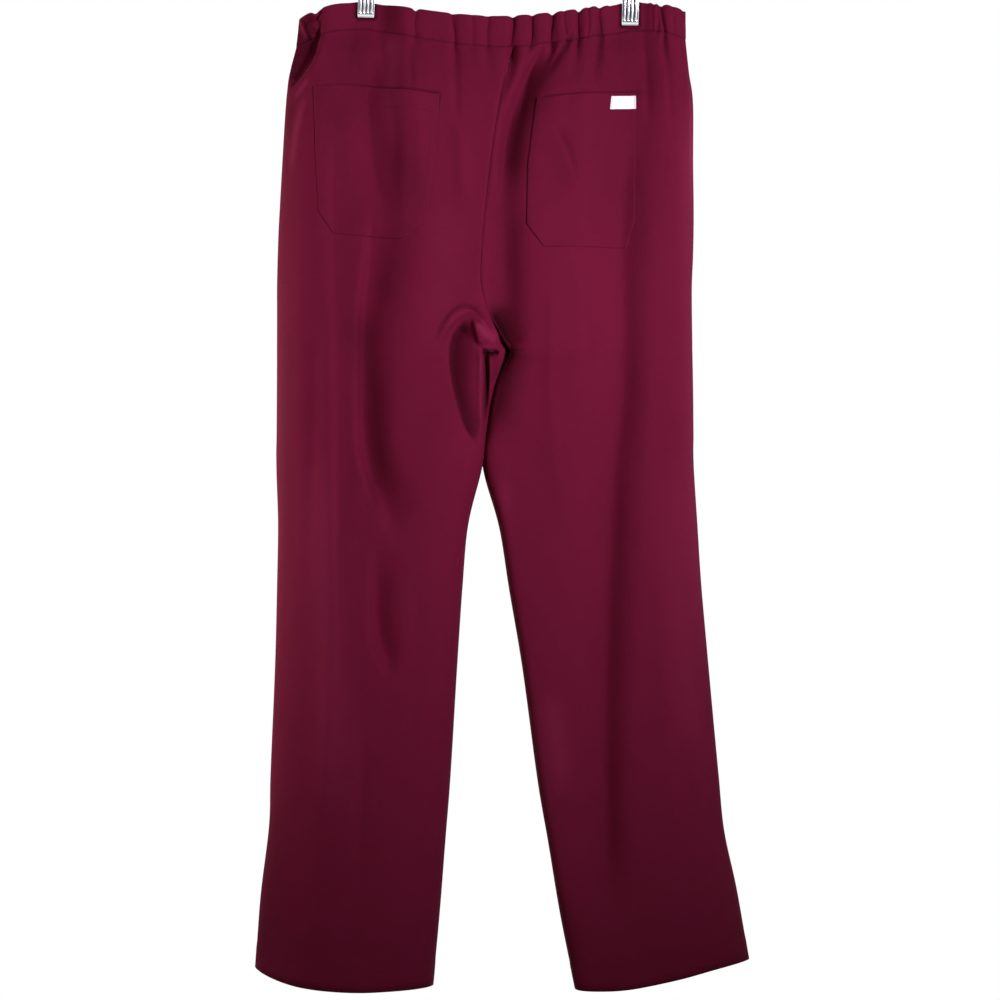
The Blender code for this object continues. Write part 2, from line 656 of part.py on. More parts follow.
def make_hook(chrome):
    """The hook's wire: up from the collar, round over the rod, to a short open end."""
    wire_radius = HOOK_RADIUS + HOOK_WIRE
    centre = -HOOK_RADIUS
    foot = BAR_Z + COLLAR_RADIUS + FIT_GAP
    lead = [(x, foot + up) for x, up in HOOK_LEAD]
    turns = np.radians(np.linspace(*HOOK_ARC, HOOK_STEPS))
    arc = [(wire_radius * math.cos(t), centre + wire_radius * math.sin(t)) for t in turns]
    data = bpy.data.curves.new("hook", "CURVE")
    data.dimensions = "3D"
    data.bevel_depth = HOOK_WIRE * MM
    data.bevel_resolution = HOOK_SECTION
    data.use_fill_caps = True
    points = lead + arc
    spline = data.splines.new("POLY")
    spline.points.add(len(points) - 1)
    for point, (x, z) in zip(spline.points, points):
        place = hung(x, 0, z)
        point.co = (place[0] * MM, place[1] * MM, place[2] * MM, 1)
    data.materials.append(chrome)
    made = bpy.data.objects.new("hook", data)
    bpy.context.scene.collection.objects.link(made)


def make_bar(chrome):
    knob = BAR_HALF - KNOB_RADIUS
    shoulder, radius = KNOB_SHOULDER
    right = [
        (knob - KNOB_NECK, BAR_RADIUS), (knob - shoulder, radius), (knob, KNOB_RADIUS),
        (knob + shoulder, radius), (knob + KNOB_RADIUS, 0),
    ]
    left = [(-x, radius) for x, radius in reversed(right)]
    lathe("bar", left + right, chrome, (0, 0, BAR_Z))


def tube_profile(half, radius, bore):
    return [(-half, bore), (-half, radius), (half, radius), (half, bore)]


def make_clip(side, place, chrome):
    """A spring clip on the bar: two sheet jaws with the spring's coil between them."""
    bore = BAR_RADIUS + FIT_GAP
    lathe(
        f"clip_{side}_spring", tube_profile(SPRING_HALF, SPRING_RADIUS, bore), chrome, (place, 0, BAR_Z)
    )
    line = np.array(JAW_LINE, float)
    along = unit(np.gradient(line, axis=0))
    beside = np.stack([-along[:, 1], along[:, 0]], axis=1) * JAW_SHEET / 2
    outline = np.concatenate([line + beside, (line - beside)[::-1]])
    for jaw, sign in (("back", -1), ("front", 1)):
        builder = bmesh.new()
        start = [builder.verts.new((place - JAW_HALF, sign * y, z)) for y, z in outline]
        face = builder.faces.new(start)
        made = bmesh.ops.extrude_face_region(builder, geom=[face])
        lifted = [item for item in made["geom"] if isinstance(item, bmesh.types.BMVert)]
        bmesh.ops.translate(builder, vec=(2 * JAW_HALF, 0, 0), verts=lifted)
        bmesh.ops.triangulate(builder, faces=builder.faces)
        bmesh.ops.recalc_face_normals(builder, faces=builder.faces)
        for vert in builder.verts:
            vert.co = hung(*vert.co)
        add_object(f"clip_{side}_{jaw}_jaw", builder, chrome)


def main():
    for old in list(bpy.data.objects):
        bpy.data.objects.remove(old)
    cloth, woven, chrome = material("poplin"), material("woven_label"), material("chrome")
    keys = [(face, side) for face in ("back", "front") for side in ("left", "right")]
    grids = {key: surface(*key, 0, HEM_ROW) for key in keys}
    normals = joined_normals(grids)
    built = make_panels(grids, normals, cloth)
    make_waistband(grids, normals, cloth)
    make_pocket("left", built, cloth)
    make_label(*make_pocket("right", built, cloth), woven)
    make_hook(chrome)
    make_bar(chrome)
    lathe("collar", tube_profile(COLLAR_HALF, COLLAR_RADIUS, BAR_RADIUS + FIT_GAP), chrome, (0, 0, BAR_Z))
    for side, place in zip(("left", "right"), HANGER_CLIPS):
        make_clip(side, place, chrome)


main()
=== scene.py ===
import math

import bmesh
import bpy
import numpy as np
from mathutils import Matrix, Vector


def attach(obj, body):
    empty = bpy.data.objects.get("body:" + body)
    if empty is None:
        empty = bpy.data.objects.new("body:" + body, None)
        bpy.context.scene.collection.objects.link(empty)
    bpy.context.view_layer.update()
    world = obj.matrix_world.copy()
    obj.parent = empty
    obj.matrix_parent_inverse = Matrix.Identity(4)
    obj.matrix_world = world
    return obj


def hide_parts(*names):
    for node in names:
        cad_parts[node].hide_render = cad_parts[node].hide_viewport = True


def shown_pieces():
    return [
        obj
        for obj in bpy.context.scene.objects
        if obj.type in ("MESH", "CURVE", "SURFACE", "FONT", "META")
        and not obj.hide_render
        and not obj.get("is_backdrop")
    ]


# Scrub trousers hung by the waistband from a clip hanger.
# +Z up, the back of the trousers towards -Y, the hook's seat at the origin.
# Sizes are in millimetres and become metres where a mesh is made.

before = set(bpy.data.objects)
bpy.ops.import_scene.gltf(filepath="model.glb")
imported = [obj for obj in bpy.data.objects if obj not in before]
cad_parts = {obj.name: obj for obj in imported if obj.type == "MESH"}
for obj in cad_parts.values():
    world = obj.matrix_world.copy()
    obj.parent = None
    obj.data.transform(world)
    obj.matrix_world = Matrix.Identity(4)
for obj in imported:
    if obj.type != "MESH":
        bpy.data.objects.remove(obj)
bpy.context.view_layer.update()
mm = 0.001
samePlace = 1e-6  # in metres
print("frame loaded with", len(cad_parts), "nodes")

# The form of the cloth by heights from the band's top to the hems. Each half runs from its outseam
# (Out) to its inner edge (In): the centre seam above the fork, the inseam below it.
form = {
    "columns": (
        "toNext", "leftOutX", "leftOutZ", "leftInX", "leftInZ", "rightInX", "rightInZ", "rightOutX",
        "rightOutZ", "lean", "back", "front", "shoulder", "turn", "frontShift", "closed", "sag", "belly",
    ),
    "heights": (
        (2, -214, -114, 16, -112.5, 16, -112.5, 202, -105.5, 0, 17, 15, 100, 40, -4, 0, 1, 0),
        (1, -218, -144, 16, -146, 16, -146, 203, -136, 0, 19, 17, 100, 40, -4, 0, 1, 0),
        (2, -224, -168, 9, -176, 9, -176, 206, -167, 0, 30, 26, 105, 40, -2, 0, 0.7, 0),
        (3, -228, -194, 2, -207, 2, -207, 210.5, -199, 0, 39, 33, 110, 40, 4, 0, 0.35, 0),
        (2, -233, -270, -9, -279, -9, -279, 211, -272, 0, 44, 38, 115, 40, 10, 0, 0.2, 0),
        (1, -236, -324, -15, -340, -15, -340, 211.5, -335, 0, 46, 40, 116, 42, 14, 0, 0.1, 0),
        (2, -237, -343, -17, -364, -17, -364, 211, -364, 0, 47, 41, 116, 43, 15, 0, 0, 0),
        (1, -238.7, -404, -17, -408, -17, -408, 209.5, -404, 0, 47, 42, 115, 45, 14, 0, 0, 0),
        (1, -238.7, -424, -10.5, -430, -10.5, -430, 209.5, -424, 0, 47, 42, 114, 46, 12, 0.14, 0, 0),
        (1, -238.7, -441, -2, -449, -2, -449, 209.7, -441, 0, 47, 42, 113, 47, 8, 0.36, 0, 0),
        (1, -238.7, -457, 7, -464, 5.4, -464, 209.9, -457, 0, 47, 42, 112, 48, 3, 0.62, 0, 0),
        (1, -238.7, -473, 13.8, -475, 12.4, -475, 210.1, -473, 0, 47, 42, 111, 50, 0, 1, 0, 0),
        (1, -238.7, -490, 7.5, -492, 5.5, -492, 210.4, -490, 4, 46, 42, 110, 52, 0, 1, 0, 0),
        (2, -238.8, -512, -1.5, -513, -4, -513, 210.8, -512, 8, 45, 42, 108, 55, 0, 1, 0, 0),
        (2, -239.1, -560, -11.6, -560, -13.4, -560, 211.3, -560, 11.5, 43, 41, 105, 64, 0, 1, 0, 0),
        (1, -239.2, -606, -18.5, -606, -14.5, -608, 212, -606, 13, 41, 40, 102, 72, 0, 1, 0, 0),
        (1, -237.6, -660, -32, -661, 1.2, -663, 215.5, -660, 10, 40, 39, 100, 80, 0, 1, 0, 1),
        (1, -238.7, -724, -38, -727, 12, -730, 219.5, -722, 6, 39, 38, 99, 86, 0, 1, 0, 2),
        (2, -240.3, -793, -42.8, -797, 24, -800, 225.5, -790, 3, 38, 37, 97, 90, 0, 1, 0, 3),
        (1, -246, -935, -52, -945, 44.5, -948, 238.5, -930, 0, 37, 36, 95, 92, 0, 1, 0, 6),
        (1, -247.5, -985.5, -56.3, -998, 54, -1002, 244.5, -990, 0, 36.5, 35.5, 94, 92, 0, 1, 0, 7),
        (1, -256.5, -1060, -62.5, -1077, 67, -1080, 258, -1053, 0, 36, 35, 94, 92, 0, 1, 0, 9),
        (0, -262, -1136, -69.8, -1156, 82.8, -1157.5, 271, -1128, 0, 36, 35, 94, 92, 0, 1, 0, 10),
    ),
    "waistHeight": 1,
    "mouthHeight": 3,
    "footHeight": 6,
    "forkHeight": 11,
    "squareness": 2.15,  # of the outseams' turn
    "turnShare": {"left": 0.85, "right": 0.42},  # of the inner edges' turn that each leg keeps
    "belly": {"left": (1.4, 0.72), "right": (0.78, 1.6)},  # of the hems: size and skew
    "clips": (-142.5, 142.5),
    "sag": (18.5, 1.6),  # of the waist between the clips: depth and power
    "pinchEase": (-119.0, 34.0, 0.34, 0.45),  # start, length, how much weaker and wider below the clips
    "creaseDeep": 12.0,  # the depth at which a crease counts as wholly folded in, and the painted shade it gets there
    "creaseShade": 0.45,
    "inTurn": {"left": 2.4, "right": 5.0},  # how square the inner edges' turn is
    "dropLeft": (20.0, 75.0),  # of the waist past the clips: drop, and the length over which it comes
    "dropRight": (10.0, 60.0),
    "pinchDepth": 2.25,  # half the thickness of the pinched cloth
    "edgeFade": 1.5,  # how soon folds and gathers come in from an outseam's edge
    "foldReach": 3,  # the widths beyond which a fold isn't felt
    "foldSteps": 6,  # samples of a path for each of its points
    "roundSteps": 61,  # samples along each rounded part of a level line, and along its flat part
    "flatSteps": 41,
    # the slight waviness that worn cloth keeps: height, length across with its own sway and the sway's
    # length, length down with its own, and shift
    "uneven": ((0.32, 15, 1.4, 47, 33, 1.1, 29, 0), (0.16, 6.3, 2.1, 21, 15.7, 0, 1, 0.7)),
    "clipShadow": (10.4, 1.7, (-114.6, -123.2), 0.8),  # a painted shadow line round each clip: half, width, feet, darkness
    # how far down the clips pinch the cloth flat: height, strength, half width and the fade beside it
    "pinch": (
        (-136, 1, 12, 32), (-170, 0.93, 6, 35), (-200, 0.80, 0, 38), (-240, 0.6, 0, 41),
        (-330, 0.34, 0, 47), (-450, 0.16, 0, 49), (-640, 0, 0, 52),
    ),
}

# Folds: depth, width on the left and on the right of a path that leads down (or below and above one that
# leads to the right), share of the length over which each begins and ends, and its path in x and z.
# Depths over 0 are troughs, under 0 ridges.
backFolds = (
    (5.5, 16, 26, 0.4, 0.35, ((-146, -150), (-139, -200), (-127, -262), (-126, -340))),
    (13, 5, 22, 0.22, 0.25, ((-131, -320), (-137, -376), (-143, -439), (-144, -504), (-143, -569),
                             (-134, -612), (-119, -646), (-101, -671))),
    (8.5, 6, 15, 0.3, 0.3, ((-127, -676), (-130, -730), (-130, -770), (-121, -801), (-104, -815))),
    (3, 5, 22, 0.2, 0.35, ((-174, -200), (-175, -330), (-172, -450), (-170, -579), (-170, -698),
                           (-167, -850))),
    (-5, 12, 34, 0.25, 0.3, ((-214, -196), (-220, -240), (-224, -330), (-225, -480), (-226, -640),
                             (-230, -820))),
    (14, 6, 15, 0.24, 0.2, ((56, -138), (46, -154), (36, -172), (25, -196), (15, -222), (9, -250),
                            (6, -285), (5, -330))),
    (3.2, 3, 6, 0.1, 0.5, ((17, -144), (13, -165), (7, -190), (-4, -228))),
    (10, 16, 17, 0.25, 0.4, ((6, -285), (6, -342), (7, -385), (9, -428), (12, -470), (12, -510))),
    (12.5, 32, 16, 0.16, 0.12, ((149, -216), (136, -272), (130, -331), (131, -439), (130, -525),
                                (123, -590), (118, -677), (114, -785), (112, -893), (114, -1000),
                                (116, -1090))),
    (2.2, 3, 6, 0.25, 0.35, ((158, -134), (159, -180), (163, -240))),
    (-4, 26, 12, 0.25, 0.3, ((196, -220), (198, -330), (199, -480), (204, -640), (214, -820))),
)
# The sunk hollow below the waist's left end: how far the cloth outside its sharp edge lies back, the
# edge's width, the share of its length over which it begins and ends, and its path
backHollow = (
    12, 3, 0.16, 0.12,
    ((-189, -122), (-192, -138), (-194, -150), (-199, -163), (-208, -176), (-222, -193)),
)
# Painted light: the share by which the cloth's colour is darkened as painted shade in the folds' depths, or
# lightened as a painted highlight on the turned edges, with the same five other numbers as a fold
backPaintedLight = {
    "left": (
        # the hollow below the waist's end
        (0.6, 34, 4, 0.15, 0.1, ((-200, -126), (-203, -142), (-207, -156), (-214, -171), (-221, -184))),
        (-0.4, 2.4, 2.4, 0.2, 0.3, ((-202, -182), (-208, -189), (-214, -196), (-219, -204))),
        (-0.38, 3.4, 3.4, 0.2, 0.3, ((-204, -198), (-211, -216), (-216, -238), (-220, -264),
                                     (-222, -292))),
        (0.25, 5, 3.4, 0.2, 0.4, ((-221, -206), (-223, -225), (-226, -250))),
        # below the clip
        (0.2, 26, 26, 0.2, 0.35, ((-160, -119), (-160, -158), (-160, -201), (-158, -262))),
        (0.15, 14, 12, 0.3, 0.3, ((-172, -196), (-171, -228), (-170, -260), (-169, -300))),
        (-0.3, 9, 10, 0.2, 0.4, ((-116, -112), (-114, -170), (-112, -240), (-108, -300))),
        # across the pocket
        (0.15, 3, 6, 0.15, 0.3, ((-134, -190), (-134, -230), (-131, -272), (-121, -312), (-112, -344))),
        (0.08, 8, 16, 0.25, 0.25, ((-98, -256), (-92, -280), (-86, -305), (-84, -332))),
        # the valleys of the long folds
        (0.2, 10, 26, 0.3, 0.3, ((-130, -201), (-121, -255), (-110, -309), (-110, -363), (-119, -417),
                                 (-127, -471))),
        (0.4, 14, 14, 0.25, 0.3, ((-140, -417), (-140, -461), (-133, -525), (-125, -590), (-118, -650))),
        (0.2, 6, 6, 0.3, 0.3, ((-136, -596), (-132, -630), (-127, -660))),
        (0.16, 20, 20, 0.3, 0.4, ((-162, -250), (-164, -363), (-162, -450), (-162, -520))),
        (-0.19, 24, 24, 0.3, 0.25, ((-196, -540), (-190, -640), (-184, -740), (-174, -880),
                                    (-166, -1010))),
        (0.16, 8, 8, 0.25, 0.35, ((-224, -420), (-225, -520), (-226, -640), (-228, -760))),
        (0.25, 20, 22, 0.35, 0.1, ((-240, -930), (-244, -1000), (-250, -1060), (-258, -1140))),
        (-0.07, 22, 22, 0.3, 0.3, ((-56, -299), (-58, -353), (-67, -417), (-76, -504))),
        # beside the deep fold below the waist's middle
        (0.15, 12, 20, 0.3, 0.3, ((2, -255), (-6, -309), (-13, -363), (-15, -417))),
        # the fold of the waist's rolled end
        (0.42, 9, 9, 0.3, 0.3, ((-198, -106), (-202, -118), (-206, -131))),
        (0.5, 2.2, 2.2, 0.2, 0.1, ((-211, -114), (-207, -123), (-202, -139))),
        (-0.5, 1.8, 1.8, 0.2, 0.2, ((-214, -116), (-210.5, -127), (-206.5, -137))),
        # the arches over the fork
        (0.4, 2.6, 1.6, 0.15, 0.45, ((-68, -465), (-58, -448), (-49, -434), (-35, -427), (-21, -431),
                                     (-10, -443), (1, -460))),
        (-0.14, 2.2, 2.2, 0.2, 0.2, ((-59, -458), (-52, -444), (-42, -435), (-32, -431), (-22, -436),
                                     (-11, -449))),
        (0.26, 1.5, 1.6, 0.2, 0.2, ((-49, -454), (-39, -442), (-28, -436), (-19, -438), (-12, -445),
                                    (-3, -458))),
        # the facet under them and its bright edge
        (0.3, 1.4, 9, 0.1, 0.12, ((-30, -441), (-47.5, -458), (-51.5, -482), (-48.5, -509),
                                  (-41.5, -536), (-33.5, -558), (-20, -575))),
        (-0.34, 3, 9, 0.15, 0.15, ((-22, -445), (-15, -456), (-1, -466))),
        (-0.22, 1.6, 1.6, 0.2, 0.3, ((-18, -471), (-19, -504), (-19, -536), (-18, -569))),
        # the slit and the groove beside it
        (0.4, 2.5, 3, 0.1, 0.3, ((-13, -474), (-12, -504), (-12, -525), (-14, -552))),
        (0.3, 5, 8, 0.15, 0.4, ((-5, -477), (-4, -493), (-6, -515))),
        (0.6, 3, 3, 0.1, 0.35, ((-16, -474), (-8, -476), (2, -475))),
    ),
    "right": (
        # the deep fold below the waist's middle
        (0.5, 12, 18, 0.6, 0.2, ((56, -141), (48, -165), (39, -193), (27, -227), (16, -266), (11, -320))),
        (0.3, 18, 18, 0.2, 0.2, ((11, -277), (11, -353), (10, -417), (11, -471))),
        # below the clip and the gathers
        (0.15, 44, 40, 0.2, 0.35, ((122, -115), (124, -160), (126, -230), (128, -320), (128, -400))),
        (0.1, 16, 12, 0.2, 0.3, ((64, -236), (68, -262), (72, -290), (78, -314))),
        (0.3, 3, 3, 0.1, 0.4, ((111, -106), (111, -137), (108, -163), (102, -191))),
        (0.3, 3, 4, 0.2, 0.4, ((82, -130), (69, -150), (60, -165))),
        # the long fold down the leg
        (0.18, 12, 9, 0.2, 0.3, ((158, -234), (157, -331), (154, -439), (152, -547), (146, -655),
                                 (140, -785), (138, -914))),
        (-0.24, 9, 12, 0.15, 0.3, ((205, -190), (206, -309), (207, -471), (210, -612), (218, -741),
                                   (231, -871))),
        (-0.55, 3, 3, 0.9, 0.3, ((202, -132), (205, -160), (207.5, -199), (208.5, -270), (209, -340))),
        (-0.14, 18, 18, 0.3, 0.3, ((188, -560), (191, -640), (197, -740), (205, -850), (214, -950))),
        (-0.2, 6, 9, 0.05, 0.15, ((2, -600), (14, -722), (30, -813), (41, -893), (58, -1003),
                                  (74, -1103))),
        (-0.2, 12, 14, 0.3, 0.3, ((50, -826), (62, -890), (72, -960))),
        # the fork
        (0.38, 12, 10, 0.25, 0.2, ((-1, -422), (4, -439), (10, -456), (15, -474))),
        (0.4, 4, 4, 0.25, 0.25, ((-8, -430), (-2, -441), (3, -451), (9, -463), (14, -475))),
        (0.72, 3, 17, 0.1, 0.4, ((15, -468), (11, -491), (4, -515), (-3, -545), (-12, -579))),
    ),
}
frontFolds = (
    (7, 15, 15, 0.1, 0.4, ((-140, -150), (-136, -260), (-132, -400), (-134, -600))),
    (8, 14, 14, 0.1, 0.4, ((143, -150), (146, -260), (144, -420), (140, -620))),
    (6, 15, 15, 0.2, 0.3, ((20, -150), (16, -260), (8, -360), (4, -430))),
    (4, 12, 12, 0.3, 0.4, ((-78, -180), (-82, -320), (-92, -520), (-100, -760))),
    (4, 12, 12, 0.3, 0.4, ((84, -180), (86, -320), (92, -520), (110, -780))),
    (3, 10, 10, 0.3, 0.4, ((-178, -300), (-180, -520), (-186, -820))),
    (3, 10, 10, 0.3, 0.4, ((182, -300), (186, -560), (200, -860))),
)
# Finer creases, which only the cloth's skin has
backCreases = (
    # the double arch over the left thigh
    (-3.2, 2.4, 6, 0.3, 0.2, ((-68, -465), (-55, -445), (-41, -431), (-28, -428), (-16, -437),
                              (-5, -451))),
    (1.6, 2.2, 2.0, 0.3, 0.2, ((-70, -462), (-57, -440), (-42, -426), (-28, -423), (-15, -431))),
    (-2.4, 2.0, 4, 0.3, 0.2, ((-58, -472), (-50, -456), (-40, -443), (-28, -438), (-18, -443),
                              (-8, -456))),
    # the hollow under the arch, its bright edge, and the slit and the groove beside it
    (11.5, 1.4, 19, 0.12, 0.2, ((-30, -440), (-46, -458), (-50, -482), (-47, -509), (-40, -536),
                                (-32, -558), (-19, -575))),
    (-2.6, 4, 2.2, 0.15, 0.3, ((-18, -470), (-17.5, -500), (-17.5, -530), (-18, -580))),
    (-4.5, 2, 16, 0.2, 0.2, ((-26, -438), (-23, -455), (-18, -471))),
    (12, 3.4, 1.6, 0.1, 0.2, ((-17, -474), (-9, -476), (2, -474))),
    (10, 2.2, 3.2, 0.06, 0.3, ((-14, -474), (-13, -498), (-13, -525), (-13.5, -560))),
    (6, 1.6, 12, 0.3, 0.3, ((-12, -412), (-7, -432), (3, -450), (13, -468), (16, -478))),
    (1.6, 2.5, 3, 0.4, 0.4, ((-63, -628), (-59, -631), (-55, -637))),
    # the waist's rolled left end and the bright edge under it
    (3.6, 2.0, 1.8, 0.15, 0.2, ((-189, -102), (-193, -110), (-201, -115), (-207, -122), (-210, -132))),
    (-3.4, 4, 3.5, 0.2, 0.3, ((-194, -104), (-204, -108), (-210, -115), (-213, -124))),
    (2.6, 1.8, 1.8, 0.25, 0.3, ((-203, -114), (-209, -118), (-214, -126))),
    (-2.2, 1.8, 5, 0.25, 0.4, ((-189, -132), (-191, -150), (-197, -166), (-207, -182), (-219, -199))),
    (-2.0, 4, 3, 0.3, 0.4, ((-205, -206), (-211, -228), (-216, -262))),
    # a second fold beside the deep one below the waist
    (3.2, 2.2, 5, 0.15, 0.4, ((82, -130), (72, -145), (62, -160), (52, -178))),
    (2.4, 2.5, 6, 0.15, 0.4, ((111, -150), (107, -172), (103, -190))),
    (2.2, 2.5, 5, 0.15, 0.4, ((176, -130), (181, -165), (184, -210), (186, -260))),
    # pulls under the clips and beside the pockets
    (1.6, 3.5, 3.5, 0.2, 0.6, ((-129, -126), (-124, -160), (-118, -196))),
    (1.4, 3.5, 3.5, 0.2, 0.6, ((-154, -126), (-160, -160), (-167, -192))),
    (1.6, 4, 4, 0.2, 0.6, ((-96, -136), (-93, -170), (-91, -205))),
    (-1.6, 7, 7, 0.3, 0.5, ((-105, -150), (-101, -230), (-100, -300), (-104, -380))),
    (1.8, 4.5, 4.5, 0.3, 0.5, ((-50, -140), (-45, -190), (-44, -240))),
    (-1.8, 8, 9, 0.3, 0.5, ((-44, -220), (-38, -280), (-34, -340))),
    (1.4, 4, 4, 0.3, 0.5, ((36, -160), (28, -200), (18, -245))),
    (1.5, 2.5, 5, 0.3, 0.4, ((60, -235), (74, -262), (86, -300))),
    (1.3, 4, 4, 0.3, 0.5, ((160, -150), (160, -190), (158, -260))),
    (1.2, 6, 6, 0.3, 0.5, ((100, -380), (96, -470), (98, -580))),
    (-1.2, 8, 8, 0.3, 0.5, ((60, -380), (56, -470), (60, -580), (72, -700))),
    # long soft folds down the legs
    (1.3, 7, 7, 0.3, 0.4, ((-196, -420), (-198, -560), (-202, -760))),
    (1.1, 8, 8, 0.3, 0.4, ((-84, -700), (-88, -820), (-96, -980))),
    (-1.2, 9, 9, 0.3, 0.4, ((-178, -700), (-182, -840), (-190, -1010))),
    (1.0, 6, 6, 0.3, 0.4, ((-140, -860), (-146, -960), (-150, -1060))),
    (-1.2, 9, 9, 0.3, 0.4, ((170, -700), (180, -860), (192, -1040))),
    (1.0, 6, 6, 0.3, 0.4, ((206, -760), (218, -900), (234, -1040))),
    # drag lines across the backs of the knees
    (0.9, 5, 5, 0.4, 0.4, ((-200, -752), (-170, -764), (-140, -760))),
    (0.8, 5, 5, 0.4, 0.4, ((-96, -742), (-78, -754), (-62, -750))),
    (0.9, 5, 5, 0.4, 0.4, ((70, -762), (96, -750), (120, -756))),
    (0.8, 5, 5, 0.4, 0.4, ((160, -792), (186, -780), (206, -784))),
)
frontCreases = (
    (1.6, 3.5, 3.5, 0.2, 0.6, ((-129, -126), (-124, -165), (-117, -200))),
    (1.4, 3.5, 3.5, 0.2, 0.6, ((130, -128), (124, -165), (118, -204))),
    (-2.0, 5, 5, 0.3, 0.4, ((-46, -476), (-34, -452), (-16, -440), (0, -446))),
    (2.2, 5, 5, 0.3, 0.4, ((50, -484), (38, -462), (24, -452))),
    (1.3, 7, 7, 0.3, 0.4, ((-196, -420), (-200, -600), (-206, -800))),
    (1.3, 7, 7, 0.3, 0.4, ((-60, -560), (-72, -700), (-84, -860))),
    (-1.2, 9, 9, 0.3, 0.4, ((-150, -640), (-160, -800), (-170, -980))),
    (1.3, 7, 7, 0.3, 0.4, ((60, -620), (84, -780), (104, -940))),
    (-1.2, 9, 9, 0.3, 0.4, ((160, -640), (176, -800), (190, -1000))),
    (1.0, 6, 6, 0.3, 0.4, ((204, -620), (214, -780), (228, -940))),
    (1.0, 5, 5, 0.4, 0.4, ((-206, -744), (-170, -760), (-130, -754))),
    (1.0, 5, 5, 0.4, 0.4, ((90, -752), (130, -764), (170, -756))),
)

# The waist's gathers: place along the waist, depth, length below the band, and slant
gathers = {
    "back": {
        "left": ((-193, 2, 30, -4), (-160, 1.5, 60, -3), (-124, 1.2, 60, 2), (-89.6, 2.5, 50, 4),
                 (-47.5, 3, 60, 6), (-12, 2.5, 50, 6)),
        "right": ((36.7, 4, 60, -10), (59.4, 5, 50, -12), (87.5, 4.5, 55, -8), (111.2, 4.5, 60, -6),
                  (125.3, 3, 45, -2), (158, 2.4, 60, 3), (176, 2.6, 50, 2)),
    },
    "centre": (16, 4, 60, -8),
    "width": 4.6,
    "spread": 0.9,  # how much wider a gather is at its lower end
    "scallop": 0.35,  # the share of its depth by which it pulls down the top edge
    "frontCount": 7,
    "front": (4, 60, 3),
    "shareInBand": 0.6,  # of the solid's gathers that the skin keeps in the band, and below it
    "shareBelow": 0.85,
    "frontPlaces": (0.22, 2.4),  # how far and how fast the front gathers' spacing varies
    "frontDepths": (0.8, 0.3, 5),  # their least depth, how far it varies and how fast
    "frontSway": 9,
    "lobe": 0.5,  # how far the cloth swells between two puckers
    "lobeReach": 40,  # below the band, and the gap over which that swelling fades
}

# The sharp puckers in the gathers, which only the skin has: place, depth, width, lean, reach and notch
puckers = {
    "back": (
        (-193, 2.5, 2.6, -3, 10, 3.8), (-89.6, 1.0, 1.6, 1, 12, 2.4), (-47, 2.0, 1.5, -2, 16, 0.4),
        (-28, 0.8, 1.8, 1, 10, 0), (-12, 1.0, 1.8, 1, 14, 0), (14, 3.2, 2.2, 2, 30, 0.8),
        (34.5, 2.6, 1.6, 3, 16, 0.6), (57, 4.0, 2.0, 1, 12, 1.5), (73, 1.2, 1.5, -2, 8, 0.6),
        (85, 3.2, 1.8, 2, 26, 2.2), (96, 1.5, 1.5, 2, 16, 0.8), (110, 4.2, 2.0, -1, 45, 1.2),
        (122, 1.8, 1.5, -1, 14, 0.8), (130, 2.6, 2.0, 4, 8, 0), (158, 3.2, 2.0, 1, 60, 1.7),
        (166, 1.6, 1.5, 2, 10, 1.9), (171, 3.6, 1.8, 3, 22, 0.8), (178, 3.6, 1.8, -2, 40, 2.0),
        (189, 1.4, 1.6, -1, 10, 0.4), (202, 0.4, 2.2, 0, 6, 3.5),
    ),
    "front": (2.6, 1.8, 20, 1.0),  # depth, width, reach and notch of the one in each front gather
    "wobble": (0.9, 6.5),  # how far each line sways, and its length
    "widens": 1.4,  # towards its lower end
    "notchWider": 1.5,
    "bandDeep": 31.0,  # the band's height, over which a pucker leans
}


def curveThrough(knots, values, at):
    knots = np.asarray(knots, float)
    values = np.asarray(values, float)
    slopes = np.gradient(values, knots)
    i = np.clip(np.searchsorted(knots, at, side="right") - 1, 0, len(knots) - 2)
    span = knots[i + 1] - knots[i]
    t = (at - knots[i]) / span
    return (
        (2 * t**3 - 3 * t**2 + 1) * values[i]
        + (t**3 - 2 * t**2 + t) * span * slopes[i]
        + (3 * t**2 - 2 * t**3) * values[i + 1]
        + (t**3 - t**2) * span * slopes[i + 1]
    )


def smoothStep(value):
    t = np.clip(value, 0.0, 1.0)
    return t * t * (3 - 2 * t)


shortest = 1e-9  # below which a vector counts as none


def unit(vectors):
    lengths = np.linalg.norm(vectors, axis=-1, keepdims=True)
    return vectors / np.maximum(lengths, shortest)


heightRows = [0] + list(np.cumsum([height[0] for height in form["heights"][:-1]]))
waistRow = heightRows[form["waistHeight"]]
mouthRow = heightRows[form["mouthHeight"]]
footRow = heightRows[form["footHeight"]]
forkRow = heightRows[form["forkHeight"]]
hemRow = heightRows[-1]
sameRow = 1e-6


def formAt(rows):
    rows = np.asarray(rows, float)
    return {
        name: curveThrough(heightRows, [height[k] for height in form["heights"]], rows)
        for k, name in enumerate(form["columns"])
        if name != "toNext"
    }


def waistDrop(x):
    left, right = form["clips"]
    middle, half = (left + right) / 2, (right - left) / 2
    sag, power = form["sag"]
    between = sag * (1 - np.abs((x - middle) / half) ** power)
    outLeft = form["dropLeft"][0] * ((left - x) / form["dropLeft"][1]) ** 2
    outRight = form["dropRight"][0] * ((x - right) / form["dropRight"][1]) ** 2
    return np.where(x < left, outLeft, np.where(x > right, outRight, between))


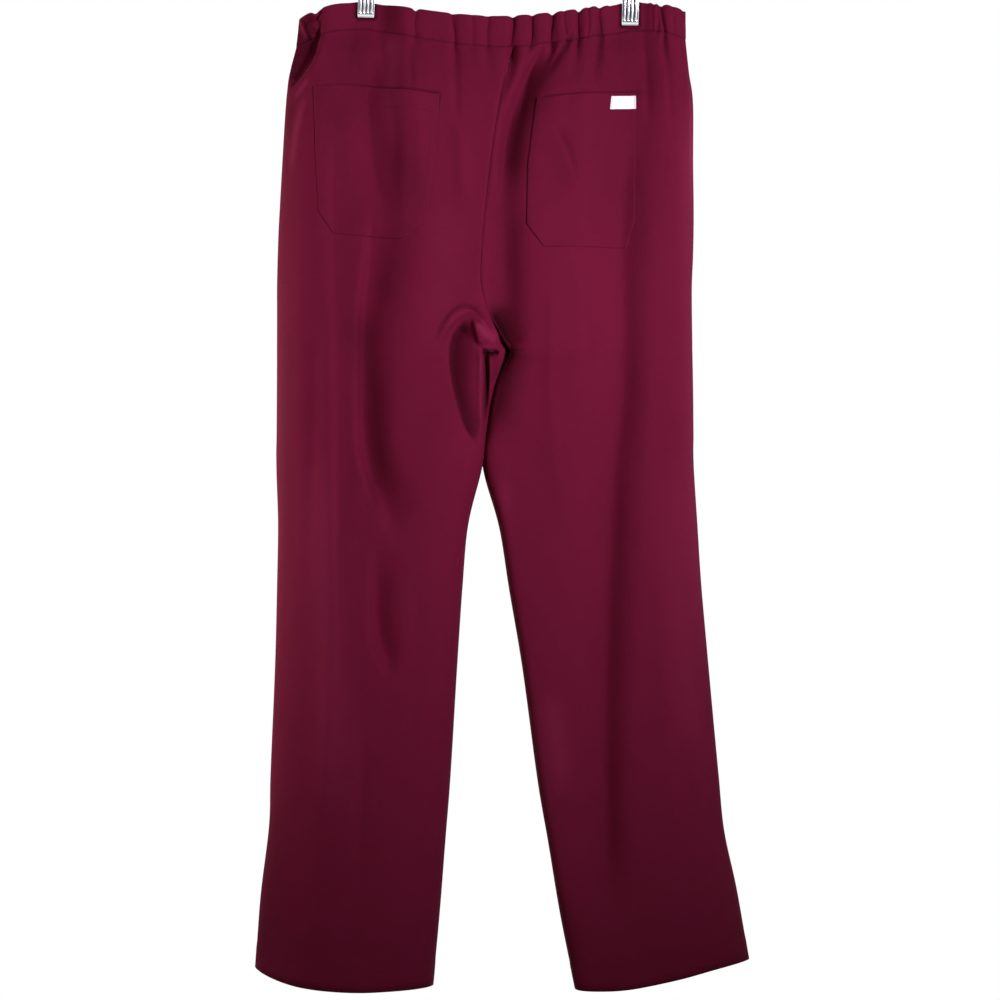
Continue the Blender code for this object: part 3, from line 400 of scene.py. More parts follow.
def foldDepth(x, z, folds):
    total = np.zeros_like(x)
    for depth, leftWidth, rightWidth, fadeIn, fadeOut, path in folds:
        spine = np.array(path, float)
        reach = form["foldReach"] * max(leftWidth, rightWidth)
        near = (
            (x > spine[:, 0].min() - reach) & (x < spine[:, 0].max() + reach)
            & (z > spine[:, 1].min() - reach) & (z < spine[:, 1].max() + reach)
        )
        if not near.any():
            continue
        nearX, nearZ = x[near], z[near]
        at = np.linspace(0, len(spine) - 1, form["foldSteps"] * len(spine))
        line = np.stack([curveThrough(np.arange(len(spine)), spine[:, k], at) for k in (0, 1)], axis=1)
        nearest = np.full(nearX.shape, np.inf)
        along, turned = np.zeros_like(nearX), np.zeros_like(nearX)
        for k in range(len(line) - 1):
            start, step = line[k], line[k + 1] - line[k]
            t = np.clip(((nearX - start[0]) * step[0] + (nearZ - start[1]) * step[1]) / (step @ step), 0, 1)
            aside, below = nearX - start[0] - t * step[0], nearZ - start[1] - t * step[1]
            gap = np.hypot(aside, below)
            closer = gap < nearest
            nearest = np.where(closer, gap, nearest)
            along = np.where(closer, (k + t) / (len(line) - 1), along)
            turned = np.where(closer, step[0] * below - step[1] * aside, turned)
        width = np.where(turned > 0, rightWidth, leftWidth)
        ends = smoothStep(along / fadeIn) * smoothStep((1 - along) / fadeOut)
        total[near] += depth * ends * np.exp(-((nearest / width) ** 2))
    return total


def hollowDepth(x, z, hollow):
    # the cloth on the outer side of the hollow's sharp edge lies further in
    height, width, fadeIn, fadeOut, path = hollow
    spine = np.array(path, float)
    centre = np.interp(-z, -spine[:, 1], spine[:, 0])
    along = (spine[0, 1] - z) / (spine[0, 1] - spine[-1, 1])
    ends = smoothStep(along / fadeIn) * smoothStep((1 - along) / fadeOut)
    return height * ends * (1 - smoothStep((x - centre) / width + 0.5))


def frontGathers():
    depth, length, sway = gathers["front"]
    swing, pace = gathers["frontPlaces"]
    least, change, rate = gathers["frontDepths"]
    ends = formAt([waistRow])
    seam = float(ends["leftInX"][0] + ends["frontShift"][0])
    found = []
    for side in ("left", "right"):
        steps = np.arange(1, gathers["frontCount"])
        shares = (steps + swing * np.sin(pace * steps)) / gathers["frontCount"]
        edge = float(ends[side + "OutX"][0])
        found += [
            (seam + (edge - seam) * share, depth * (least + change * math.sin(rate * share)), length,
             sway * math.sin(gathers["frontSway"] * share))
            for share in shares
        ]
    return found


gatherRows = {
    "back": list(gathers["back"]["left"] + gathers["back"]["right"]) + [gathers["centre"]],
    "front": frontGathers() + [gathers["centre"]],
}


def gatherDepth(face, x, z, seamZ):
    total = np.zeros_like(x)
    for place, depth, length, slant in gatherRows[face]:
        below = np.clip((seamZ - z) / length, 0, 1)
        width = gathers["width"] * (1 + gathers["spread"] * below)
        aside = x - place - slant * below
        total += depth * (1 - smoothStep(below)) * np.exp(-((aside / width) ** 2))
    return total


def puckersOf(face):
    if face == "back":
        return puckers["back"]
    depth, width, reach, notch = puckers["front"]
    return [(place, depth, width, slant, reach, notch) for place, deep, length, slant in gatherRows["front"]]


def puckerDepth(face, x, z, seamZ):
    # the sharp lines in the gathers' valleys, and the swelling between them
    total = np.zeros_like(x)
    above = (z - seamZ) / puckers["bandDeep"]
    swing, wave = puckers["wobble"]
    for place, depth, width, lean, reach, notch in puckersOf(face):
        below = np.clip((seamZ - z) / reach, 0, 1)
        aside = x - place - lean * np.clip(above, 0, 1) + lean * below - swing * np.sin(z / wave + place)
        widened = width * (1 + puckers["widens"] * below)
        total += depth * (1 - smoothStep(below)) * np.exp(-((aside / widened) ** 2))
    places = np.array(sorted(row[0] for row in puckersOf(face)))
    k = np.clip(np.searchsorted(places, x) - 1, 0, len(places) - 2)
    gap = places[k + 1] - places[k]
    t = np.clip((x - places[k]) / gap, 0, 1)
    inside = (x > places[0]) & (x < places[-1])
    fade = 1 - smoothStep(np.clip((seamZ - z) / gathers["lobeReach"], 0, 1))
    close = np.exp(-((gap / gathers["lobeReach"]) ** 2))
    total -= gathers["lobe"] * close * np.sin(math.pi * t) * inside * fade
    return total


def notchDepth(face, x):
    # how far each pucker pulls down the band's top edge
    total = np.zeros_like(x)
    for place, depth, width, lean, reach, notch in puckersOf(face):
        total += notch * np.exp(-(((x - place - lean) / (puckers["notchWider"] * width)) ** 2))
    return total


def pinchAt(x, z, fine):
    down, strength, flat, reach = np.array(form["pinch"], float).T
    strengthHere, flatHere, reachHere = (
        np.interp(-z, -down, values) for values in (strength, flat, reach)
    )
    if fine:
        start, length, share, wider = form["pinchEase"]
        eased = smoothStep((start - z) / length)
        strengthHere, reachHere = strengthHere * (1 - share * eased), reachHere * (1 + wider * eased)
    total = np.zeros_like(x)
    for clip in form["clips"]:
        total = np.maximum(total, 1 - smoothStep((np.abs(x - clip) - flatHere) / reachHere))
    return strengthHere * total


def paintedClipShadow(x, z):
    # a painted shadow darkens the cloth along the edges of the clips that press on it
    half, width, feet, share = form["clipShadow"]
    total = np.zeros_like(x)
    for clip, foot in zip(form["clips"], feet):
        aside = np.abs(x - clip)
        beside = np.exp(-(((aside - half) / width) ** 2)) * (z > foot)
        under = np.exp(-(((z - foot) / width) ** 2)) * (aside < half)
        total = np.maximum(total, np.maximum(beside, under))
    return share * total


def unevenness(x, z):
    total = 0.0
    for height, across, bend, bendEach, down, sway, swayEach, shift in form["uneven"]:
        wavesAcross = np.sin(x / across + bend * np.sin(z / bendEach))
        total = total + height * wavesAcross * np.sin(z / down + sway * np.sin(x / swayEach) + shift)
    return total


def lineAt(face, side, here, k):
    # one level line of a panel from the outseam to the inner edge: x, depth, facing and length
    shift = here["frontShift"][k] if face == "front" else 0.0
    outX, inX = here[side + "OutX"][k], here[side + "InX"][k] + shift
    closed = min(max(here["closed"][k], 0.0), 1.0)
    shoulder, depth = here["shoulder"][k], here[face][k]
    turn = here["turn"][k] * form["turnShare"][side]
    power, inPower = 2 / form["squareness"], 2 / form["inTurn"][side]
    inward = np.sign(inX - outX)
    outer = np.linspace(0, math.pi / 2, form["roundSteps"])
    inner = np.linspace(0, math.pi / 2 * closed, form["roundSteps"])
    flatEnd = inX - inward * turn * np.sin(inner[-1]) ** inPower
    flat = np.linspace(outX + inward * shoulder, flatEnd, form["flatSteps"])[1:-1]
    angle = np.concatenate([outer, np.full(len(flat), math.pi / 2), math.pi / 2 + inner])
    x = np.concatenate([
        outX + inward * shoulder * (1 - np.cos(outer).clip(0) ** power),
        flat,
        flatEnd + inward * turn * np.sin(inner) ** inPower,
    ])
    facing = np.sin(angle).clip(0)
    depths = depth * np.where(angle > math.pi / 2, facing**inPower, facing**power)
    if closed == 1.0:
        depths[-1] = 0.0
    length = np.concatenate([[0], np.cumsum(np.hypot(np.diff(x), np.diff(depths)))])
    return x, depths, facing, length


mouth = {
    "depth": 5.0,
    "above": 0.12,  # in rows
    "below": 0.9,
    "left": (-170, -60),  # its outer and inner end on the x axis
    "right": (147, 44),
    "fade": 9.0,
    "shaded": {"left": (-126, 46), "right": (98, 54)},  # the middle and half the length of its painted shade line
    "shadeAbove": 0.13,
    "shadeEnds": 4,  # how sharply that line ends
    "shade": 0.5,
}


def mouthDepth(side, x, rowsDown):
    # the panel falls away behind each pocket's open mouth, and a painted shade line runs along that mouth
    outer, inner = mouth[side]
    turned = np.sign(inner - outer)
    fromOuter, fromInner = (x - outer) * turned, (inner - x) * turned
    inside = smoothStep(fromOuter / mouth["fade"]) * smoothStep(fromInner / mouth["fade"])
    above = np.exp(-(((mouthRow - rowsDown) / mouth["above"]) ** 2))
    below = 1 - smoothStep((rowsDown - mouthRow) / mouth["below"])
    centre, half = mouth["shaded"][side]
    shaded = np.exp(-(((x - centre) / half) ** mouth["shadeEnds"]))
    shaded = shaded * np.exp(-(((mouthRow - rowsDown) / mouth["shadeAbove"]) ** 2))
    sunk = mouth["depth"] * inside * np.where(rowsDown < mouthRow, above, below)
    return sunk, mouth["shade"] * shaded


def clothPoints(face, side, rows, shares, alongX=False, fine=True):
    # points of a panel's outer face. shares run from the outseam to the inner edge by length along
    # each row, or are places on the x axis if alongX is set
    here = formAt(rows)
    shares = np.broadcast_to(shares, (len(rows), np.shape(shares)[-1]))
    x, depth, facing, share, ends = [], [], [], [], []
    for k in range(len(rows)):
        lineX, lineDepth, lineFacing, length = lineAt(face, side, here, k)
        if alongX:
            turned = np.sign(lineX[-1] - lineX[0])
            places = np.interp(turned * shares[k], turned * lineX, length)
        else:
            places = shares[k] * length[-1]
        x.append(np.interp(places, length, lineX))
        depth.append(np.interp(places, length, lineDepth))
        facing.append(np.interp(places, length, lineFacing))
        share.append((x[-1] - lineX[0]) / (lineX[-1] - lineX[0]))
        ends.append((lineX[0], lineX[-1]))
    x, depth, facing, share = (np.array(values) for values in (x, depth, facing, share))
    first, last = np.array(ends).T[:, :, None]
    down = {name: values[:, None] for name, values in here.items()}
    outZ, inZ = down[side + "OutZ"], down[side + "InZ"]
    ownSag = waistDrop(x) - waistDrop(first) * (1 - share) - waistDrop(last) * share
    z = outZ + (inZ - outZ) * share - down["sag"] * ownSag
    size, skew = form["belly"][side]
    z = z - down["belly"] * size * np.sin(math.pi * share.clip(0, 1) ** skew)
    seam = formAt([waistRow])
    seamOut, seamIn = seam[side + "OutZ"][0], seam[side + "InZ"][0]
    seamZ = seamOut + (seamIn - seamOut) * share - ownSag
    gathered = gatherDepth(face, x, z, seamZ)
    if fine:
        gathered = gathered * np.where(z > seamZ, gathers["shareInBand"], gathers["shareBelow"])
    inward = gathered + foldDepth(x, z, backFolds if face == "back" else frontFolds)
    # painted light laid into the colour: painted shade over 0, painted highlights under 0
    paintedLight = np.zeros_like(x)
    if fine:
        creased = foldDepth(x, z, backCreases if face == "back" else frontCreases)
        creased = creased + puckerDepth(face, x, z, seamZ)
        inward = inward + creased + unevenness(x, z)
        # painted shade in the creases, and a painted shadow line round the clips
        paintedLight = form["creaseShade"] * smoothStep(creased / form["creaseDeep"]) + paintedClipShadow(x, z)
    if face == "back" and side == "left":
        inward = inward + hollowDepth(x, z, backHollow)
    # painted shade in the back's folds and hollows, and painted highlights on its turned edges
    if face == "back":
        paintedLight = paintedLight + foldDepth(x, z, backPaintedLight[side])
    rowsDown = np.asarray(rows, float)[:, None]
    # a painted shade line along each pocket's mouth
    if fine and face == "back" and not alongX:
        sunk, shade = mouthDepth(side, x, rowsDown)
        inward, paintedLight = inward + sunk, paintedLight + shade
    inward = inward * np.clip(form["edgeFade"] * facing, 0, 1)
    pinched = pinchAt(x, z, fine)
    pressed = depth + (np.minimum(depth, form["pinchDepth"]) - depth) * pinched
    formed = np.maximum(pressed - inward * (1 - pinched), np.minimum(depth, form["pinchDepth"]))
    sign = -1.0 if face == "back" else 1.0
    lean = down["lean"] * (-1.0 if side == "left" else 1.0)
    nearTop = np.clip(1 - rowsDown / waistRow, 0, 1)
    z = z - (gathers["scallop"] * gathered + (notchDepth(face, x) if fine else 0)) * nearTop
    return np.stack([x, sign * formed + lean * share, z], axis=-1), paintedLight


def outwardNormals(points, face, side):
    normals = unit(np.cross(np.gradient(points, axis=1), np.gradient(points, axis=0)))
    return -normals if (face == "back") == (side == "left") else normals


# The skin: the cloth that is seen, a sheet for each panel
skin = {
    "across": {"back": (60, 92), "front": (48, 44)},  # columns before and after the bend
    "bend": 0.6,  # the share of a row's length past which columns lie closer
    # from one row of the form to another, and the steps between: smaller where the cloth is folded
    "rowSteps": (
        (0, waistRow, 16), (waistRow, mouthRow, 30), (mouthRow, footRow, 36), (footRow, forkRow, 54),
        (forkRow, forkRow + 4, 50), (forkRow + 4, hemRow, 80),
    ),
    "thickness": 0.8,
    "seamDip": 0.9,  # how deep the cloth is sunk along its seams, and over what width
    "seamWidth": 1.8,
    "bandDip": 0.14,  # and along the band
    "bandWidth": 1.3,
    "tuckedIn": (0.3, 0.7),  # how far a panel's top lies inside the band and above its lower edge
    "hemDeep": 24.0,
    "hemThick": 0.45,
    "hemStep": 2.5,  # the height over which the hem's edge rises
    "hemStitch": (0.5, 2, 1.6),  # how deep its stitches lie, how far below its edge, and over what width
    "hemRipple": (0.8, 11, 30),  # height, length and reach up from the hem
    "rippleShift": {"left": 2, "right": 0},
    "forkBlend": (4, 3),  # rows above the fork where each half takes its own normals, and over how many
    "seamStitches": (2.6, 6.4),
    "stitchStop": 3,  # rows above the fork
    "seamStitchStart": 1.0,
}
sides = [(face, side) for face in ("back", "front") for side in ("left", "right")]


def skinRows():
    rows = [0.0]
    for start, stop, steps in skin["rowSteps"]:
        rows += list(start + (stop - start) * np.arange(1, steps + 1) / steps)
    return np.array(rows)


def joinNormals(grids, rows):
    # the same normal on both sides of each seam, so that the two walls meet there
    normals = {key: outwardNormals(points, *key) for key, points in grids.items()}
    inBand = rows <= waistRow + sameRow
    for one in normals.values():
        one[inBand, :, 2] = 0.0
    legs = rows >= forkRow - sameRow
    for side in ("left", "right"):
        pair = [normals["back", side], normals["front", side]]
        outseam = unit(pair[0][:, 0] + pair[1][:, 0])
        inseam = unit(pair[0][legs, -1] + pair[1][legs, -1])
        for one in pair:
            one[:, 0] = outseam
            one[legs, -1] = inseam
    for face in ("back", "front"):
        pair = [normals[face, "left"], normals[face, "right"]]
        shared = unit(pair[0][~legs, -1] + pair[1][~legs, -1])
        above, over = skin["forkBlend"]
        own = smoothStep((rows[~legs] - (forkRow - above)) / over)[:, None]
        for one in pair:
            one[~legs, -1] = unit(one[~legs, -1] * own + shared * (1 - own))
    return {key: unit(one) for key, one in normals.items()}


def lengthsOf(points, axis):
    steps = np.linalg.norm(np.diff(points, axis=axis), axis=-1)
    start = np.zeros_like(np.take(steps, [0], axis=axis))
    return np.concatenate([start, np.cumsum(steps, axis=axis)], axis=axis)


def addPiece(name, builder):
    mesh = bpy.data.meshes.new(name)
    builder.to_mesh(mesh)
    builder.free()
    mesh.shade_smooth()
    made = bpy.data.objects.new(name, mesh)
    bpy.context.scene.collection.objects.link(made)
    return made


def addWall(piece, thickness, offset):
    wall = piece.modifiers.new("wall", "SOLIDIFY")
    wall.thickness = thickness * mm
    wall.offset = offset


def clothObject(name, points, thickness, outward, paintedLights=None, closed=False):
    # a sheet whose vertices are moved to a grid of points, with its own UV map and, as an attribute, its
    # painted light: painted shade and painted highlights laid into its colour
    rows, columns = points.shape[:2]
    builder = bmesh.new()
    bmesh.ops.create_grid(builder, x_segments=columns - 1, y_segments=rows - 1, size=1.0)
    builder.verts.index_update()
    layer = builder.loops.layers.uv.new("cloth")
    paintedLightLayer = builder.verts.layers.float.new("paintedLight")
    across = lengthsOf(points, 1)
    mapU = across - across[:, -1:] / 2
    mapV = lengthsOf(points, 0).mean(axis=1)
    where = [
        (round((vert.co.y + 1) / 2 * (rows - 1)), round((vert.co.x + 1) / 2 * (columns - 1)))
        for vert in builder.verts
    ]
    for face in builder.faces:
        for loop in face.loops:
            place = where[loop.vert.index]
            loop[layer].uv = (mapU[place] * mm, -mapV[place[0]] * mm)
    for vert in builder.verts:
        vert.co = Vector(points[where[vert.index]]) * mm
        if paintedLights is not None:
            vert[paintedLightLayer] = float(paintedLights[where[vert.index]])
    builder.normal_update()
    facing = sum(
        Vector(outward[where[face.verts[0].index]]).dot(face.normal) for face in builder.faces
    )
    if facing < 0:
        bmesh.ops.reverse_faces(builder, faces=builder.faces[:])
    if closed:
        bmesh.ops.remove_doubles(builder, verts=builder.verts[:], dist=samePlace)
    made = addPiece(name, builder)
    addWall(made, thickness, -1.0)
    return made


def skinShares(face):
    outer, inner = skin["across"][face]
    toBend = np.linspace(0, skin["bend"], outer + 1)[:-1]
    return np.concatenate([toBend, np.linspace(skin["bend"], 1, inner + 1)])


fineRows = skinRows()
clothPaintedLight = {}
clothGrids = {}
for key in sides:
    clothGrids[key], clothPaintedLight[key] = clothPoints(*key, fineRows, skinShares(key[0]))
clothNormals = joinNormals(clothGrids, fineRows)
print("cloth form worked out")


def panelSkin(key):
    # a leg panel: sunk along its seams, turned up at the hem
    panel = fineRows >= waistRow - sameRow
    points, normals = clothGrids[key][panel].copy(), clothNormals[key][panel]
    across, down = lengthsOf(points, 1), lengthsOf(points, 0)
    nearest = np.minimum(across, across[:, -1:] - across)
    sunk = skin["seamDip"] * np.exp(-((nearest / skin["seamWidth"]) ** 2))
    sunk = np.maximum(sunk, skin["bandDip"] * np.exp(-((down / skin["bandWidth"]) ** 2)))
    fromHem = down[-1:] - down
    turnedUp = skin["hemThick"] * smoothStep((skin["hemDeep"] - fromHem) / skin["hemStep"])
    deep, below, width = skin["hemStitch"]
    stitched = deep * np.exp(-(((fromHem - skin["hemDeep"] + below) / width) ** 2))
    height, length, reach = skin["hemRipple"]
    ripple = height * np.sin(across / length + skin["rippleShift"][key[1]]) * np.exp(-fromHem / reach)
    ripple = ripple * np.sin(math.pi * across / across[:, -1:])
    points += (turnedUp - stitched - sunk + ripple)[..., None] * normals
    inside, higher = skin["tuckedIn"]
    points[0] += np.array([0, 0, higher]) - inside * normals[0]
    paintedLights = clothPaintedLight[key][panel]
    made = clothObject(f"{key[0]}_{key[1]}_cloth", points, skin["thickness"], normals, paintedLights)
    return made, points, normals


panels = {key: panelSkin(key) for key in sides}
print("leg panels made")

band = {
    "across": 170,
    "down": 18,
    "topStart": 0.1,  # rows below the very top, so that the rounded fold ends level with it
    "topSteps": 8,
    "thick": 2.6,
    "proud": 0.65,
    "cloth": 0.7,
    "proudLow": 0.12,  # how far its face stands off the panels at its lower edge
    "proudOver": 12.0,  # the height over which it comes out to its full stand
    "edgeSink": 0.3,
    "edgeWidth": 1.2,
    "stitchUp": 3.0,
}


def makeWaistband():
    # one gathered casing, from the outer seam up over the elastic and down inside
    rows = np.linspace(waistRow, band["topStart"], band["down"] + 1)
    shares = np.linspace(0, 1, band["across"] + 1)
    formed = {key: clothPoints(*key, rows[::-1], shares) for key in sides}
    grids, shades = ({key: pair[k] for key, pair in formed.items()} for k in (0, 1))
    normals = joinNormals(grids, rows[::-1])
    rings = []
    for grid in (grids, normals, shades):
        parts = [grid["back", "left"][:, ::-1], grid["front", "left"][:, 1:],
                 grid["front", "right"][:, ::-1][:, 1:], grid["back", "right"][:, 1:]]
        rings.append(np.concatenate(parts, axis=1)[::-1])
    ring, out, paintedLights = rings
    out = unit(out + np.roll(out, 1, axis=1) + np.roll(out, -1, axis=1))
    out[:, -1] = out[:, 0]
    upward = np.array([0, 0, 1.0])
    radius = band["thick"] / 2
    fromSeam = lengthsOf(ring, 0)[..., None]
    sunk = band["edgeSink"] * np.exp(-((fromSeam / band["edgeWidth"]) ** 2))
    rise = smoothStep(fromSeam / band["proudOver"])
    proud = band["proudLow"] + (band["proud"] - band["proudLow"]) * rise
    outer = ring + (proud - sunk) * out
    middle = band["proud"] - radius
    arc = [
        ring[-1] + (middle + radius * math.cos(a)) * out[-1] + radius * math.sin(a) * upward
        for a in np.linspace(0, math.pi, band["topSteps"] + 1)[1:-1]
    ]
    inner = (ring + (band["proud"] - band["thick"]) * out)[::-1]
    points = np.concatenate([outer, np.array(arc), inner])
    facing = np.concatenate([out, np.repeat(out[-1:], len(arc), axis=0), -out[::-1]])
    paintedLights = np.concatenate([paintedLights, np.repeat(paintedLights[-1:], len(arc), axis=0), 0 * paintedLights])
    made = clothObject("waistband_cloth", points, band["cloth"], facing, paintedLights, closed=True)
    return made, outer, out


waistband, bandPoints, bandNormals = makeWaistband()
print("waistband made")

pockets = {
    "rows": 96,
    "across": 84,
    "lift": 1.15,  # of the pocket's outer face over the panel
    "edgeLift": 0.85,
    "edgeWidth": 2.5,
    "swell": 1.4,
    "swellFade": (60, 18),  # from the foot and from the sides
    "mouthLift": 2.6,
    "mouthFade": 26.0,
    "mouthCorner": 30.0,
    "hemDeep": 21.0,
    "hemThick": 0.35,
    "hemStep": 2.0,
    "hemStitch": (0.3, 1.5, 1.2),  # how deep its stitches lie, how far above its edge, over what width
    "pucker": (0.22, 2.9, 3.0, 8.0),  # of the sewn edges: height, length, place and width, from the foot
    "stitchRows": (2.0, 6.5),
    "stitchEnds": 1.0,
    "thickness": 0.7,
    "edgeHeights": (3, 4, 5, 6),
    "left": {"outer": (-197, -194.5, -191.4, -176.4), "inner": (-62.3, -67, -75.6, -103.3)},
    "right": {"outer": (149.2, 147.5, 146.5, 137.6), "inner": (41.5, 31.5, 30.4, 48.8)},
}


def makePocket(side):
    # a patch pocket: the panel's own form, moved out, swelling a little and open along its mouth
    edgeRows = [heightRows[k] for k in pockets["edgeHeights"]]
    rows = np.linspace(mouthRow, footRow, pockets["rows"] + 1)
    outer, inner = (np.interp(rows, edgeRows, pockets[side][edge]) for edge in ("outer", "inner"))
    share = np.linspace(0, 1, pockets["across"] + 1)
    places = outer[:, None] + (inner - outer)[:, None] * share
    base, paintedLights = clothPoints("back", side, rows, places, alongX=True)
    smooth = clothPoints("back", side, rows, places, alongX=True, fine=False)[0]
    out = outwardNormals(smooth, "back", side)
    across, down = lengthsOf(base, 1), lengthsOf(base, 0)
    fromSides = np.minimum(across, across[:, -1:] - across)
    fromFoot = down[-1:] - down
    fromEdge = np.minimum(fromSides, fromFoot)
    rounded = 1 - np.exp(-((fromEdge / pockets["edgeWidth"]) ** 2))
    lift = pockets["edgeLift"] + (pockets["lift"] - pockets["edgeLift"]) * rounded
    swollen = pockets["swell"] * np.sin(math.pi * share)
    footFade, sideFade = pockets["swellFade"]
    lift += swollen * smoothStep(fromFoot / footFade) * smoothStep(fromSides / sideFade)
    opened = pockets["mouthLift"] * np.exp(-down / pockets["mouthFade"])
    lift += opened * smoothStep(fromSides / pockets["mouthCorner"])
    lift += pockets["hemThick"] * smoothStep((pockets["hemDeep"] - down) / pockets["hemStep"])
    deep, above, width = pockets["hemStitch"]
    lift -= deep * np.exp(-(((down - pockets["hemDeep"] + above) / width) ** 2))
    height, length, inset, footFade = pockets["pucker"]
    puckered = height * np.sin(down / length) * np.exp(-(((fromSides - inset) / inset) ** 2))
    lift += puckered * smoothStep(fromFoot / footFade)
    points = base + lift[..., None] * out
    made = clothObject(f"pocket_{side}_cloth", points, pockets["thickness"], out, paintedLights)
    return made, points, out


pocketLeft, pocketLeftPoints, pocketLeftNormals = makePocket("left")
pocketRight, pocketRightPoints, pocketRightNormals = makePocket("right")
print("pockets made")


def pointOn(points, normals, row, column):
    # a place on a grid of points, between its rows and columns
    r, c = min(int(row), len(points) - 2), min(int(column), points.shape[1] - 2)
    t, s = row - r, column - c
    weights = (
        ((1 - t) * (1 - s), r, c), ((1 - t) * s, r, c + 1),
        (t * (1 - s), r + 1, c), (t * s, r + 1, c + 1),
    )
    place = sum(w * points[i, j] for w, i, j in weights)
    normal = sum(w * normals[i, j] for w, i, j in weights)
    return place, unit(normal)


def lineDown(points, normals, inset, fromLast=False, first=0.0, last=0.0):
    # a line down a sheet, inset from its first or last column
    across, down = lengthsOf(points, 1), lengthsOf(points, 0)[:, 0]
    columns = np.arange(points.shape[1])
    line = []
    for row in range(len(points)):
        if first <= down[row] <= down[-1] - last:
            place = across[row, -1] - inset if fromLast else inset
            line.append(pointOn(points, normals, row, np.interp(place, across[row], columns)))
    return line


def lineAcross(points, normals, inset, fromLast=False, first=0.0, last=0.0):
    # a line across a sheet, inset from its first or last row
    across, down = lengthsOf(points, 1), lengthsOf(points, 0)
    along = across[-1] if fromLast else across[len(points) // 2]
    rows = np.arange(len(points))
    line = []
    for column in range(points.shape[1]):
        if first <= along[column] <= along[-1] - last:
            place = down[-1, column] - inset if fromLast else inset
            line.append(pointOn(points, normals, np.interp(place, down[:, column], rows), column))
    return line


stitch = {
    "pitch": 3.0,
    "length": 2.3,
    "thick": 0.42,
    "raise": 0.06,
}


def makeStitches(name, lines, pitch=stitch["pitch"], thick=stitch["thick"]):
    # a row of thread beads along each line, sunk half way into the cloth
    builder = bmesh.new()
    for line in lines:
        places = np.array([place for place, normal in line])
        normals = np.array([normal for place, normal in line])
        run = np.concatenate([[0], np.cumsum(np.linalg.norm(np.diff(places, axis=0), axis=1))])
        for at in np.arange(pitch / 2, run[-1] - pitch / 2, pitch):
            ends = [
                np.array([np.interp(at + ahead, run, places[:, k]) for k in range(3)])
                for ahead in (-0.5, 0.5)
            ]
            normal = unit(np.array([np.interp(at, run, normals[:, k]) for k in range(3)]))
            along = unit(ends[1] - ends[0])
            beside = unit(np.cross(normal, along))
            centre = (ends[0] + ends[1]) / 2 + stitch["raise"] * normal
            half = stitch["length"] / 2 * pitch / stitch["pitch"]
            turned = Matrix([
                [along[k] * half, beside[k] * thick / 2, normal[k] * thick / 2, centre[k]]
                for k in range(3)
            ] + [[0, 0, 0, 1]])
            scaled = Matrix.Scale(mm, 4) @ turned
            bmesh.ops.create_icosphere(builder, subdivisions=1, radius=1.0, matrix=scaled)
    bmesh.ops.recalc_face_normals(builder, faces=builder.faces[:])
    return addPiece(name, builder)


def pocketStitches(name, points, normals):
    lines = []
    for inset in pockets["stitchRows"]:
        lines += [
            lineDown(points, normals, inset, last=inset),
            lineDown(points, normals, inset, fromLast=True, last=inset),
            lineAcross(points, normals, inset, fromLast=True, first=inset, last=inset),
        ]
    hem, ends = pockets["hemDeep"] - pockets["hemStitch"][1], pockets["stitchEnds"]
    lines.append(lineAcross(points, normals, hem, first=ends, last=ends))
    return makeStitches(name, lines)


sewing = [
    pocketStitches("pocket_left_stitches", pocketLeftPoints, pocketLeftNormals),
    pocketStitches("pocket_right_stitches", pocketRightPoints, pocketRightNormals),
    makeStitches("waistband_stitches", [lineAcross(bandPoints, bandNormals, band["stitchUp"])]),
]
for face in ("back", "front"):
    seamLines = []
    for side in ("left", "right"):
        made, points, normals = panels[face, side]
        hem = lineAcross(points, normals, skin["hemDeep"] - skin["hemStitch"][1], fromLast=True)
        sewing.append(makeStitches(f"{face}_{side}_hem_stitches", [hem]))
    made, points, normals = panels[face, "right"]
    down = lengthsOf(points, 0)[:, -1]
    stop = np.argmax(fineRows[fineRows >= waistRow] >= forkRow - skin["stitchStop"])
    for inset in skin["seamStitches"]:
        seamLines.append(lineDown(points, normals, inset, fromLast=True, first=skin["seamStitchStart"],
                                  last=down[-1] - down[stop]))
    sewing.append(makeStitches(f"{face}_seam_stitches", seamLines))
print("stitches made")

label = {
    "ends": (148.6, 119.8),  # on the x axis
    "drops": (4.2, 18.6),  # from the mouth
    "across": 40,
    "down": 22,
    "lift": 0.55,
    "thickness": 0.4,
    "cornerLift": 0.5,
    "cornerPower": 8,  # how near the corners it begins
    "row": 8,
    "stitchInset": 1.4,
    "stitchEnds": 1.2,
    "stitchPitch": 1.9,
    "stitchThick": 0.34,
}


def makeLabel():
    points, normals = pocketRightPoints, pocketRightNormals
    down, columns = lengthsOf(points, 0), np.arange(points.shape[1])
    grid, out = [], []
    for drop in np.linspace(*label["drops"], label["down"] + 1):
        line, lineOut = [], []
        for place in np.linspace(*label["ends"], label["across"] + 1):
            column = np.interp(-place, -points[label["row"], :, 0], columns)
            row = np.interp(drop, down[:, int(column)], np.arange(len(points)))
            here, normal = pointOn(points, normals, row, column)
            line.append(here)
            lineOut.append(normal)
        grid.append(line)
        out.append(lineOut)
    grid, out = np.array(grid), np.array(out)
    nearEnds = np.linspace(-1, 1, label["across"] + 1)[None, :] ** label["cornerPower"]
    nearCorners = nearEnds * np.linspace(-1, 1, label["down"] + 1)[:, None] ** label["cornerPower"]
    grid += (label["lift"] + label["thickness"] + label["cornerLift"] * nearCorners)[..., None] * out
    made = clothObject("label_cloth", grid, label["thickness"], out)
    ends = label["stitchEnds"]
    lines = [
        lineDown(grid, out, label["stitchInset"], fromLast=atLast, first=ends, last=ends)
        for atLast in (False, True)
    ]
    return made, makeStitches("label_stitches", lines, label["stitchPitch"], label["stitchThick"])


labelCloth, labelStitches = makeLabel()
print("label made")

